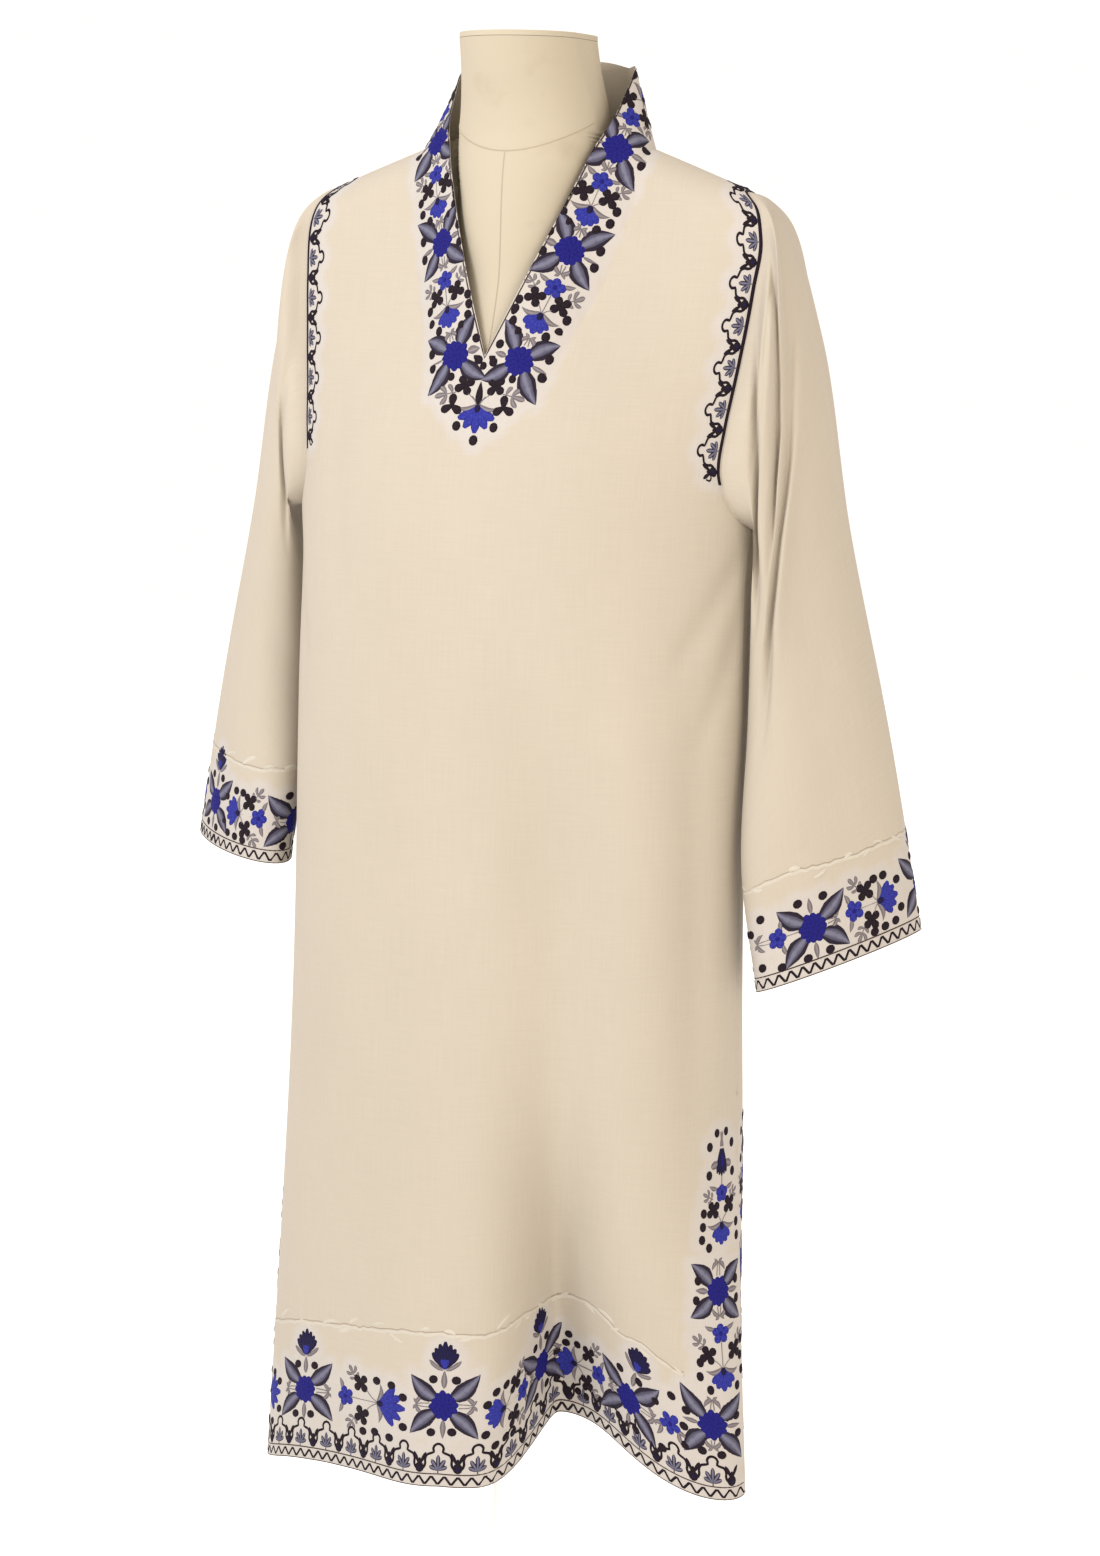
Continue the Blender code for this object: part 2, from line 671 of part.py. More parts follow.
def form_face_y(x, drop, face):
    """Where the form's surface lies, inside the cloth over the shoulders."""
    half_width = read(TORSO, "half_width", drop)
    side = read(BODY, "side_y", drop)
    under_cloth = cloth_y(x, drop - FORM_CLEARANCE_TOP, face)
    clearance = FORM_CLEARANCE_FACE * ease(np.abs(under_cloth - side), 0.0, FORM_CLEARANCE_RISE)
    under_cloth = under_cloth - face * clearance
    profile = read(TORSO, "front_y" if face < 0 else "back_y", drop)
    out = np.clip(np.abs(x) / half_width, 0.0, 1.0)
    own = side + (profile - side) * (1 - out ** TORSO_SPREAD) ** (1 / TORSO_ROUNDNESS)
    torso = -face * np.maximum(-face * under_cloth, -face * own)
    neck_half, middle = read(NECK, "half_width", drop), read(NECK, "middle_y", drop)
    neck_depth = read(NECK, "front_y" if face < 0 else "back_y", drop) - middle
    neck = middle + neck_depth * np.sqrt(np.maximum(1 - (x / neck_half) ** 2, 0.0))
    neck = neck - face * NECK_FALL * np.maximum(np.abs(x) - neck_half, 0.0)
    if face < 0:
        return soft_min(torso, neck, NECK_FILLET)
    return soft_max(torso, neck, NECK_FILLET)


def form_ring(drop):
    """One level ring of the dress form."""
    slant = (drop - FORM_CLEARANCE_TOP) / SHOULDER_SLOPE
    slant = max(slant + math.hypot(NECK_POINT_HALF_WIDTH, SHOULDER_SOFTNESS), SHOULDER_SOFTNESS)
    shoulder = math.sqrt(slant ** 2 - SHOULDER_SOFTNESS ** 2)
    reach = soft_min(shoulder, float(read(TORSO, "half_width", drop)), SHOULDER_BLEND)
    reach = float(soft_max(reach, float(read(NECK, "half_width", drop)), NECK_BLEND))
    free = 1.0 - float(ease(drop, *NECK_FREE))
    edge = float(read(BODY, "side_y", drop))
    edge += (NECK_SIDE_Y - edge) * free
    neck_back = float(read(NECK, "back_y", drop)) - edge
    points = []
    for i in range(FORM_SIDES):
        angle = 2 * math.pi * i / FORM_SIDES
        x = reach * math.sin(angle)
        face = -1 if math.cos(angle) > 0 else 1
        y = float(form_face_y(abs(x), drop, face))
        if face > 0:
            bulge = 1 - abs(math.sin(angle)) ** NECK_SQUARENESS
            y += (edge + neck_back * bulge ** (1 / NECK_SQUARENESS) - y) * free
        fade = min(abs(math.cos(angle)) / SIDE_TURN, 1.0)
        points.append((x, edge + (y - edge) * fade, drop))
    return points


def ring_faces(first):
    """Quads between two rings of the form, the first of which starts at this vertex."""
    upper = [first + i for i in range(FORM_SIDES)]
    following = upper[1:] + upper[:1]
    return [[a, b, b + FORM_SIDES, a + FORM_SIDES] for a, b in zip(upper, following)]


def build_form():
    """The dress form: neck, shoulders and torso in one closed body."""
    drops = [FORM_RINGS[0][0]]
    for start, end, count in FORM_RINGS:
        drops += [start + (end - start) * (i + 1) / count for i in range(count)]
    points = np.array([point for drop in drops for point in form_ring(drop)])
    faces = []
    for row in range(len(drops) - 1):
        faces += ring_faces(row * FORM_SIDES)
    last = (len(drops) - 1) * FORM_SIDES
    faces += [list(range(FORM_SIDES)), [last + i for i in range(FORM_SIDES)][::-1]]
    return mesh_object("dress_form", to_world(points), faces)


def build_neck_cap():
    """A thin flat cap on the form's neck."""
    ring = to_world(np.array(form_ring(NECK_TOP_DROP)))
    low = NECK_POINT_HEIGHT - NECK_TOP_DROP + TOUCH_GAP
    points = [(x, y, height) for height in (low, low + CAP_HEIGHT) for x, y, _ in ring]
    faces = ring_faces(0)
    faces += [list(range(FORM_SIDES))[::-1], list(range(FORM_SIDES, 2 * FORM_SIDES))]
    return mesh_object("neck_cap", points, faces)


def build_cylinder(name, radius, low, high, bevel):
    """An upright round piece of the stand on the centre line."""
    middle = (0, 0, (low + high) / 2)
    bpy.ops.mesh.primitive_cylinder_add(
        vertices=ROUND_SIDES, radius=radius, depth=high - low, location=middle
    )
    made = bpy.context.object
    made.name = made.data.name = name
    for collection in list(made.users_collection):
        collection.objects.unlink(made)
    bpy.data.collections[COLLECTION_NAME].objects.link(made)
    if bevel:
        rounded = made.modifiers.new("rounded_edges", "BEVEL")
        rounded.width = bevel
        rounded.segments = 2
        rounded.limit_method = "ANGLE"
    made.data.shade_smooth()
    made.data.set_sharp_from_angle(angle=SOFT_EDGE_ANGLE)
    return made


def material(name, colour, roughness, metallic):
    """A plain surface."""
    made = bpy.data.materials.new(name)
    made.use_nodes = True
    shader = made.node_tree.nodes["Principled BSDF"]
    shader.inputs["Base Color"].default_value = colour
    shader.inputs["Roughness"].default_value = roughness
    shader.inputs["Metallic"].default_value = metallic
    return made


def main():
    for old in list(bpy.data.objects):
        bpy.data.objects.remove(old, do_unlink=True)
    bpy.context.scene.collection.children.link(bpy.data.collections.new(COLLECTION_NAME))
    for piece in build_cloth():
        piece.data.materials.append(material(piece.name + "_cloth", CLOTH_COLOUR, 0.85, 0.0))
    for piece in (build_form(), build_neck_cap()):
        piece.data.materials.append(material(piece.name + "_cover", FORM_COLOUR, 0.9, 0.0))
    pole_top = NECK_POINT_HEIGHT - FORM_BOTTOM_DROP - TOUCH_GAP
    base = build_cylinder("stand_base", BASE_RADIUS, 0.0, BASE_HEIGHT, BASE_BEVEL)
    pole = build_cylinder("stand_pole", POLE_RADIUS, BASE_HEIGHT + TOUCH_GAP, pole_top, 0.0)
    for piece in (base, pole):
        piece.data.materials.append(material(piece.name + "_metal", METAL_COLOUR, 0.35, 0.9))


main()
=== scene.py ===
"""Looks of the kurta on its dress form: fine cloth, folds, sewing and embroidery.

Metres, +Z up; the front faces -Y and the wearer's left is +X. A 'drop' is measured down from the
neck point. Distances on the cloth are 's' along an edge and 'h' across from it.
"""

import math

import bpy
import numpy as np
from mathutils import Matrix, Vector
from mathutils.bvhtree import BVHTree
from mathutils.kdtree import KDTree


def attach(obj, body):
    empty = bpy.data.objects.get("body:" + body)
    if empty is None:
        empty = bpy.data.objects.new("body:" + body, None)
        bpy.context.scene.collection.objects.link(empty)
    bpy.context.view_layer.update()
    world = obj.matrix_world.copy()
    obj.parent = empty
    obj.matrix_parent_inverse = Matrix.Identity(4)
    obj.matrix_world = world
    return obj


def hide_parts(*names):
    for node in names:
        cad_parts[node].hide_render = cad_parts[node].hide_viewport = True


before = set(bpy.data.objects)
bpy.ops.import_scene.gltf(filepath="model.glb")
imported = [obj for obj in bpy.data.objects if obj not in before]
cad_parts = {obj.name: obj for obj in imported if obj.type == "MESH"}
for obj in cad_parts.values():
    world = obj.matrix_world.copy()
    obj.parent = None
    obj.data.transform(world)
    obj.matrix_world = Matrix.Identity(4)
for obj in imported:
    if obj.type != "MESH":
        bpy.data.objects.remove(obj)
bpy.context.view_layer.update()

NECK_POINT_HEIGHT = 1.4
UNDERARM_DROP = 0.286
SLIT_TOP_DROP = 0.745
NECK_POINT_HALF_WIDTH = 0.095
SHOULDER_SLOPE = 0.4
SHOULDER_SOFTNESS = 0.04
SHOULDER_ROUND = 0.028
SHOULDER_SEAM_Y = 0.025
CLOTH_THICKNESS = 0.0008
SEAM_DIP = 0.0009
SEAM_REACH = 0.0035

# How finely the cloth is divided: columns of half a row, rows from hem to underarm, rows between
# two of the yoke's climbs, rows of a sleeve and rows of the collar
HALF_COLUMNS = 60
SKIRT_ROWS = 180
YOKE_PARTS = 5
SLEEVE_ROWS = 150
COLLAR_ROWS = 20
YOKE_CLIMBS = (0, 0.06, 0.14, 0.24, 0.36, 0.48, 0.6, 0.7, 0.79, 0.86, 0.915, 0.957, 0.98, 0.995, 1)
NECK_CLIMB = {-1: 0.24, 1: 0.86}
YOKE_ROWS = (len(YOKE_CLIMBS) - 1) * YOKE_PARTS
ROW_SAMPLES = 120
EDGE_COLUMNS = (0.985, 0.99, 0.995, 1)
HEM_EDGE_LEVEL = 0.0012
SLEEVE_CROWDING = 1.12
# What is no difference between two measures, and what a division by a length stays above
TINY = 1e-9
NO_SIZE = 1e-15


def table(columns, rows):
    """Turn a table's rows into one array for each named column."""
    return {name: np.array(values, float) for name, values in zip(columns.split(), zip(*rows))}


BODY = table("drop half_width side_y", (
    (0, 0.215, 0.025), (0.07, 0.212, 0.024), (0.16, 0.206, 0.014), (0.25, 0.198, 0.002),
    (0.286, 0.1945, -0.003), (0.45, 0.192, -0.005), (0.67, 0.194, -0.006), (0.85, 0.201, -0.008),
    (1, 0.208, -0.01), (1.12, 0.215, -0.01),
))
DEPTH = {
    -1: table("below reach spread roundness", (
        (0, 0, 4, 4), (0.031, 0.004, 3.8, 3.6), (0.068, 0.017, 3.4, 3), (0.11, 0.032, 3, 2.4),
        (0.148, 0.051, 2.7, 1.9), (0.186, 0.072, 2.6, 1.6), (0.217, 0.087, 2.6, 1.35),
        (0.246, 0.094, 2.6, 1.3), (0.3, 0.105, 2.5, 1.35), (0.38, 0.11, 2.3, 1.6),
        (0.6, 0.114, 2.1, 1.9), (0.85, 0.121, 2.1, 2), (1.14, 0.13, 2.1, 2),
    )),
    1: table("below reach spread roundness", (
        (0, 0, 4, 4), (0.03, 0.003, 3.8, 3.6), (0.07, 0.015, 3.4, 3.2), (0.12, 0.029, 3, 2.8),
        (0.18, 0.041, 2.8, 2.5), (0.25, 0.049, 2.6, 2.2), (0.32, 0.05, 2.5, 2),
        (0.45, 0.045, 2.3, 2), (0.7, 0.045, 2.2, 2), (1.14, 0.055, 2.1, 2),
    )),
}
HEM = {
    -1: table("share drop", ((0, 1.05), (0.45, 1.056), (0.8, 1.066), (1, 1.08))),
    1: table("share drop", ((0, 1.07), (0.5, 1.073), (1, 1.075))),
}
HEM_TILT = 0.022
ARMHOLE = {
    -1: table("drop half_width", (
        (0.286, 0.1945), (0.27, 0.184), (0.246, 0.177), (0.209, 0.179), (0.16, 0.185),
        (0.103, 0.191), (0.066, 0.193), (0.044, 0.187), (0.031, 0.174),
    )),
    1: table("drop half_width", (
        (0.286, 0.1945), (0.272, 0.1925), (0.246, 0.1905), (0.209, 0.1905), (0.16, 0.1915),
        (0.103, 0.193), (0.066, 0.193), (0.044, 0.187), (0.031, 0.174),
    )),
}
NECKLINE = {
    -1: table("half_width drop", (
        (0, 0.224), (0.016, 0.215), (0.032, 0.199), (0.05, 0.172), (0.064, 0.139), (0.077, 0.105),
        (0.088, 0.067), (0.094, 0.032), (0.095, 0),
    )),
    1: table("half_width drop", ((0, 0.014), (0.045, 0.012), (0.078, 0.006), (0.095, 0))),
}
COLLAR_EDGE = table("share x y drop", (
    (0, 0, 0.072, -0.068), (0.12, 0.038, 0.065, -0.067), (0.21, 0.062, 0.051, -0.062),
    (0.27, 0.073, 0.036, -0.06), (0.32, 0.071, 0.014, -0.034), (0.45, 0.06, -0.015, 0.002),
    (0.58, 0.047, -0.033, 0.04), (0.7, 0.035, -0.047, 0.071), (0.82, 0.023, -0.059, 0.101),
    (1, 0, -0.077, 0.157),
))
SLEEVE = table("along outer_x outer_y outer_drop inner_x inner_y inner_drop half_depth", (
    (0, 0.174, 0.025, 0.031, 0.1945, -0.003, 0.286, 0.056),
    (0.05, 0.182, 0.028, 0.04, 0.2005, 0.002, 0.291, 0.057),
    (0.1, 0.193, 0.031, 0.055, 0.199, 0.003, 0.304, 0.056),
    (0.25, 0.2235, 0.038, 0.124, 0.1975, 0.003, 0.35, 0.052),
    (0.5, 0.2555, 0.042, 0.285, 0.1965, -0.001, 0.44, 0.045),
    (0.75, 0.2925, 0.05, 0.445, 0.1985, -0.016, 0.545, 0.04),
    (1, 0.3225, 0.058, 0.6, 0.213, -0.014, 0.645, 0.036),
))
SLEEVE_HEAD_SHARE = 0.27
SLEEVE_HEAD_REACH = 0.2
SLEEVE_HEAD_WAY = (0.93, 0.25, 0.2)
CUFF_LIFT = {-1: (0.022, 0.06), 1: (0, 0)}
INNER_BACK = {-1: 0.022, 1: 0}
INNER_CLOSE = {-1: 0.009, 1: 0}
SLEEVE_FOLD_COLUMNS = ("side", "turn", "width", "full", "gone", "depth")
SLEEVE_FOLDS = (
    (1, 122, 22, 0.12, 0.85, 0.012), (1, 60, 24, 0.45, 1, 0.004), (-1, 118, 24, 0.15, 0.8, 0.003),
    (-1, 250, 26, 0.2, 0.9, 0.006), (1, 255, 26, 0.2, 0.9, 0.006),
)
FOLD_COLUMNS = (
    "top", "full", "across_top", "across_hem", "width_top", "width_hem", "depth_full", "depth_hem",
    "lift",
)
FOLDS = {
    -1: (
        (0.3, 0.95, 0.086, 0.08, 0.046, 0.038, 0.016, 0.094, 0.03),
        (0.4, 0.98, 0.15, 0.138, 0.05, 0.038, 0, 0, 0.009),
        (0.4, 0.98, 0.02, -0.01, 0.045, 0.045, -0.004, -0.012, 0),
        (0.4, 0.98, 0.15, 0.165, 0.04, 0.04, -0.004, -0.008, 0),
        (0.45, 1, -0.11, -0.12, 0.05, 0.05, 0.003, 0.008, 0),
    ),
    1: (
        (0.3, 0.95, -0.08, -0.105, 0.04, 0.038, 0.008, 0.03, 0.006),
        (0.3, 0.95, 0.07, 0.09, 0.04, 0.036, 0.007, 0.024, 0.004),
        (0.4, 0.98, 0, 0, 0.045, 0.05, -0.004, -0.012, 0),
        (0.45, 1, -0.18, -0.2, 0.035, 0.038, -0.003, -0.01, 0),
        (0.45, 1, 0.17, 0.19, 0.035, 0.038, -0.003, -0.01, 0),
    ),
}
# A fold deeper than this at the hem is steep on one side and easy on the other
DEEP_FOLD = 0.05
FOLD_STEEP = (0.62, 2.63)
FOLD_FADE = (0.86, 1)
FOLD_UPPER = (0, 0.6)
FOLD_LOWER = (0.55, 1.22)
SLIT_SWING = {
    (-1, 1): (0.01, -0.022),
    (-1, -1): (-0.003, -0.012),
    (1, 1): (-0.016, 0.018),
    (1, -1): (-0.006, 0.014),
}
SWING_FULL_DROP = 1.06
SWING_FADE = (0.6, 1)


def smooth_through(knots, values, at):
    """Values on a smooth curve through a table's rows."""
    at = np.clip(np.asarray(at, float), knots[0], knots[-1])
    slopes = np.gradient(values, knots)
    left = np.clip(np.searchsorted(knots, at, side="right") - 1, 0, len(knots) - 2)
    width = knots[left + 1] - knots[left]
    t = (at - knots[left]) / width
    rise = t * t * (3 - 2 * t)
    leave = t * (1 - t) ** 2 * width * slopes[left]
    arrive = t * t * (t - 1) * width * slopes[left + 1]
    return values[left] * (1 - rise) + values[left + 1] * rise + leave + arrive


def read(source, column, at):
    """One column of a table, by the value of the table's first column."""
    return smooth_through(next(iter(source.values())), source[column], at)


def lengths(points):
    """Distance along a row of points to each of them."""
    steps = np.linalg.norm(np.diff(points, axis=0), axis=-1)
    return np.concatenate([[0], np.cumsum(steps)])


def along_curve(source, columns, share):
    """Points on the smooth curve through a table's rows, by the share of its length."""
    rows = np.stack([source[name] for name in columns], 1)
    knots = lengths(rows)
    at = share * knots[-1]
    return np.stack([smooth_through(knots, rows[:, i], at) for i in range(len(columns))], -1)


def ease(value, start, end):
    """A soft step from 0 at the start to 1 at the end."""
    t = np.clip((value - start) / (end - start), 0, 1)
    return t * t * (3 - 2 * t)


def window(value, rise, full, fall, end):
    """A soft step up, and down again."""
    return ease(value, rise, full) * (1 - ease(value, fall, end))


def bell(value, width):
    """1 at zero, with a soft fall to either side."""
    return np.exp(-((value / width) ** 2))


def shoulder_drop(x):
    """Drop of the shoulder line at a distance across."""
    return SHOULDER_SLOPE * (
        np.hypot(x, SHOULDER_SOFTNESS) - math.hypot(NECK_POINT_HALF_WIDTH, SHOULDER_SOFTNESS)
    )


def cloth_y(x, drop, face):
    """Where the unfolded cloth lies; face is -1 for the front and 1 for the back."""
    source = DEPTH[face]
    below = np.maximum(drop - shoulder_drop(x), 0)
    rounding = SHOULDER_ROUND * np.sqrt(1 - (1 - np.minimum(below / SHOULDER_ROUND, 1)) ** 2)
    middle = SHOULDER_SEAM_Y + face * (rounding + read(source, "reach", below))
    side = read(BODY, "side_y", drop)
    out = np.clip(np.abs(x) / read(BODY, "half_width", drop), 0, 1)
    fall = (1 - out ** read(source, "spread", below)) ** (1 / read(source, "roundness", below))
    return side + (middle - side) * fall


def row_ends(face, level):
    """Inner and outer (x, drop) of a half row; level runs from the hem 0 over the underarm 1 to
    the shoulder seam 2."""
    if level <= 1:
        inner, outer = (drop + (UNDERARM_DROP - drop) * level for drop in HEM[face]["drop"][[0, -1]])
        return (0, inner), (float(read(BODY, "half_width", outer)), outer)
    climb = level - 1
    outer = along_curve(ARMHOLE[face], ("half_width", "drop"), climb)
    start = NECK_CLIMB[face]
    if climb <= start:
        lowest = NECKLINE[face]["drop"][0]
        return (0, UNDERARM_DROP + (lowest - UNDERARM_DROP) * climb / start), outer
    return along_curve(NECKLINE[face], ("half_width", "drop"), (climb - start) / (1 - start)), outer


def half_row(face, level):
    """Dense points of the unfolded half row at +X, and the length along it to each."""
    (inner_x, inner_drop), (outer_x, outer_drop) = row_ends(face, level)
    limit = max(float(read(BODY, "half_width", outer_drop)), outer_x)
    last_turn = math.asin(min(outer_x / limit, 1))
    x = limit * np.sin(np.linspace(math.asin(inner_x / limit), last_turn, ROW_SAMPLES))
    share = (x - inner_x) / max(outer_x - inner_x, TINY)
    if level <= 1:
        hem_drop = read(HEM[face], "drop", share)
        drop = hem_drop + (UNDERARM_DROP - hem_drop) * level
        x = x * read(BODY, "half_width", drop) / limit
    else:
        inner_below = inner_drop - shoulder_drop(inner_x)
        outer_below = outer_drop - shoulder_drop(outer_x)
        drop = inner_below + (outer_below - inner_below) * share + shoulder_drop(x)
    points = np.stack([x, cloth_y(x, drop, face), drop], 1)
    return points, lengths(points) + inner_x


def fold_push(folds, across, drop):
    """How far the folds push the cloth inward, and how far they draw it up."""
    depth, lift = np.zeros_like(across), np.zeros_like(across)
    for row in folds:
        fold = dict(zip(FOLD_COLUMNS, row))
        fall = np.clip((drop - fold["top"]) / (fold["full"] - fold["top"]), 0, FOLD_LOWER[1])
        middle = fold["across_top"] + (fold["across_hem"] - fold["across_top"]) * fall
        width = fold["width_top"] + (fold["width_hem"] - fold["width_top"]) * fall
        shape = bell(across - middle, width)
        late = ease(fall, *FOLD_LOWER)
        if fold["depth_hem"] > DEEP_FOLD:
            flank = np.where(across < middle, FOLD_STEEP[0], FOLD_STEEP[1])
            shape = shape + (bell(across - middle, width * flank) - shape) * late
        depth += shape * fold["depth_full"] * ease(fall, *FOLD_UPPER) * (1 - late)
        depth += shape * fold["depth_hem"] * late
        lift += shape * fold["lift"] * late
    return depth, lift


def panel_row(face, level, share, side):
    """Outer face of the front or back, with the distance across and the drop before the folds."""
    points, length = half_row(face, level)
    at = length[0] + (length[-1] - length[0]) * share
    x, y, drop = (np.interp(at, length, points[:, i]) for i in range(3))
    slope_x = np.interp(at, length, np.gradient(points[:, 0], length))
    slope_y = np.interp(at, length, np.gradient(points[:, 1], length))
    steep = np.hypot(slope_x, slope_y)
    out_x, out_y = -face * slope_y / steep, face * slope_x / steep
    push, lift = fold_push(FOLDS[face], side * at, drop)
    out = at / length[-1]
    push = push * (1 - ease(out, *FOLD_FADE))
    swing = ease(drop, SLIT_TOP_DROP, SWING_FULL_DROP) * ease(out, *SWING_FADE)
    sideways, along_y = SLIT_SWING[face, side]
    flat_drop = drop
    x = side * (x - out_x * push + sideways * swing)
    y = y - out_y * push + along_y * swing
    drop = drop - lift - side * HEM_TILT * out * max(1 - level, 0)
    place = np.stack([x, y, NECK_POINT_HEIGHT - drop], -1)
    return place, np.stack([side * at, flat_drop, length[-1] - at], -1)


def column_shares():
    """Places of the columns along a half row, closer together beside the seam or edge."""
    even = np.linspace(0, 1, HALF_COLUMNS + 1 - len(EDGE_COLUMNS))
    return np.concatenate([even[:-1], EDGE_COLUMNS])


def panel_levels():
    """Places of the rows, closer together at the hem's edge."""
    skirt = np.linspace(0, 1, SKIRT_ROWS + 1)
    yoke = [
        1 + start + (end - start) * (part + 1) / YOKE_PARTS
        for start, end in zip(YOKE_CLIMBS, YOKE_CLIMBS[1:])
        for part in range(YOKE_PARTS)
    ]
    return np.concatenate([skirt[:1], [HEM_EDGE_LEVEL], skirt[1:], yoke])


def closed_rows(face):
    """Which rows run whole across the front or back, below its neckline."""
    return panel_levels() <= 1 + NECK_CLIMB[face] + TINY


def grid_normals(grid, outward):
    """Outward direction at each place of a grid of points."""
    along = np.gradient(grid, axis=1)
    up = np.gradient(grid, axis=0)
    normal = np.cross(along, up) * outward
    size = np.linalg.norm(normal, axis=-1, keepdims=True)
    return normal / np.maximum(size, NO_SIZE)


CREASE_TAPER = (-0.12, 0.25, 0.7, 1.12)
CREASE_EDGE = 0.012


def crease_depth(creases, across, drop):
    """Inward push of soft troughs (or ridges, with a negative depth): each runs from one place
    (across, drop) to another and has a width and a depth."""
    depth = np.zeros_like(across)
    for a0, d0, a1, d1, width, deep in creases:
        trough = np.array([a1 - a0, d1 - d0])
        size = np.hypot(*trough)
        way = trough / size
        t = (across - a0) * way[0] + (drop - d0) * way[1]
        off = -(across - a0) * way[1] + (drop - d0) * way[0]
        depth += deep * window(t / size, *CREASE_TAPER) * bell(off, width)
    return depth


CREASES = {
    -1: (
        (0.23, 0.3, 0.165, 0.395, 0.011, 0.003), (0.238, 0.33, 0.19, 0.46, 0.01, 0.0024),
        (-0.232, 0.3, -0.175, 0.41, 0.012, 0.003), (0.045, 0.28, 0.062, 0.6, 0.028, 0.003),
        (-0.06, 0.5, -0.09, 0.88, 0.035, 0.0024), (-0.15, 0.18, -0.12, 0.36, 0.016, 0.0018),
        (0.13, 0.33, 0.15, 0.7, 0.024, -0.0026), (0.185, 0.4, 0.2, 0.8, 0.017, 0.0034),
    ),
    1: (
        (0.225, 0.3, 0.14, 0.38, 0.013, 0.0026), (-0.225, 0.305, -0.15, 0.4, 0.013, 0.0024),
        (0.02, 0.26, 0.03, 0.52, 0.026, 0.002), (-0.11, 0.33, -0.12, 0.7, 0.03, 0.002),
        (0.12, 0.42, 0.13, 0.8, 0.028, 0.0018),
    ),
}


def half_panel(face, side):
    """One half of the front or back: its places, and the distance across, drop and distance to
    the side of each."""
    shares = column_shares()
    rows = [panel_row(face, level, shares, side) for level in panel_levels()]
    places = np.array([row[0] for row in rows])
    flat = np.array([row[1] for row in rows])
    across, drop, to_side = (flat[..., i] for i in range(3))
    depth = crease_depth(CREASES[face], across, drop) * (1 - bell(to_side, CREASE_EDGE))
    depth = depth + bell(to_side, SEAM_REACH) * SEAM_DIP * (drop < SLIT_TOP_DROP)
    normal = grid_normals(places, -face * side)
    return places - normal * depth[..., None], flat


def join_edges(halves):
    """Make the front and back meet at the side seams and at the shoulder seams."""
    for side in (-1, 1):
        front, back = halves[-1, side][0], halves[1, side][0]
        front[-1] = back[-1] = (front[-1] + back[-1]) / 2
        drop = halves[-1, side][1][:, -1, 1]
        sewn = (panel_levels() <= 1) & (drop <= SLIT_TOP_DROP)
        front[sewn, -1] = back[sewn, -1] = (front[sewn, -1] + back[sewn, -1]) / 2
    for face in (-1, 1):
        left, right = halves[face, 1][0], halves[face, -1][0]
        closed = closed_rows(face)
        left[closed, 0] = right[closed, 0] = (left[closed, 0] + right[closed, 0]) / 2


def to_room(points, side):
    """Places in the room of (x, y, drop) at +X, on one side; or the other way round."""
    return points * (side, 1, -1) + (0, 0, NECK_POINT_HEIGHT)


def sleeve_ring(along, turn, side):
    """An ideal ring of a sleeve at +X; the turn starts at the outer fold and goes by the front."""
    outer = np.array([read(SLEEVE, name, along) for name in ("outer_x", "outer_y", "outer_drop")])
    inner = np.array([read(SLEEVE, name, along) for name in ("inner_x", "inner_y", "inner_drop")])
    outer[2] -= CUFF_LIFT[side][0] * along ** 2
    inner[2] -= CUFF_LIFT[side][1] * along ** 2
    inner[1] += INNER_BACK[side] * window(along, 0, 0.15, 0.5, 1)
    inner[0] -= INNER_CLOSE[side] * along ** 4
    ring = (outer + inner) / 2 + np.cos(turn)[:, None] * (outer - inner) / 2
    ring[:, 1] -= read(SLEEVE, "half_depth", along) * np.sin(turn)
    return ring


def sleeve_fold(turn, along, side):
    """How far a sleeve's folds push its ring inward."""
    depth = np.zeros_like(turn)
    for row in SLEEVE_FOLDS:
        fold = dict(zip(SLEEVE_FOLD_COLUMNS, row))
        if fold["side"] != side:
            continue
        come_and_go = window(along, 0, fold["full"], fold["full"], fold["gone"])
        depth += fold["depth"] * bell(np.degrees(turn) - fold["turn"], fold["width"]) * come_and_go
    return depth


# Narrow pleats that hang from the sleeve head: side, width in degrees, depth, then places (along,
# turn in degrees) of the trough
PLEATS = (
    (1, 9, 0.011, ((0.03, 78), (0.08, 97), (0.12, 121), (0.17, 130), (0.27, 130), (0.4, 134))),
    (1, 6.5, 0.01, (
        (0.03, 46), (0.09, 59), (0.18, 64), (0.23, 67), (0.27, 73), (0.31, 86), (0.4, 104),
    )),
    (1, 8, 0.0085, (
        (0.08, 28), (0.19, 39), (0.24, 44), (0.28, 55), (0.33, 68), (0.39, 90), (0.46, 108),
        (0.62, 124),
    )),
    (-1, 7, 0.004, ((0.04, 96), (0.12, 112), (0.22, 118), (0.34, 120))),
    (-1, 8, 0.0045, ((0.14, 200), (0.28, 214), (0.45, 226), (0.6, 232))),
    (1, 8, 0.0045, ((0.12, 226), (0.26, 222), (0.44, 230), (0.62, 236))),
)
PLEAT_TAPER = (-0.05, 0.25, 0.65, 1.05)
# The ridge beside a pleat: its height by the pleat's depth, its place and width by the pleat's width
PLEAT_RIDGE = (0.35, 2.2, 1.3)


def pleat_depth(turn, along, side):
    """How far the pleats push a ring inward, with a lower ridge beside each."""
    depth = np.zeros_like(turn)
    for where, width, deep, trough in PLEATS:
        if where != side:
            continue
        alongs, turns = np.array(trough).T
        off = np.degrees(turn) - np.interp(along, alongs, turns)
        deep = deep * window((along - alongs[0]) / (alongs[-1] - alongs[0]), *PLEAT_TAPER)
        high, beside, wide = PLEAT_RIDGE
        depth += deep * (bell(off, width) - high * bell(off + beside * width, wide * width))
    return depth


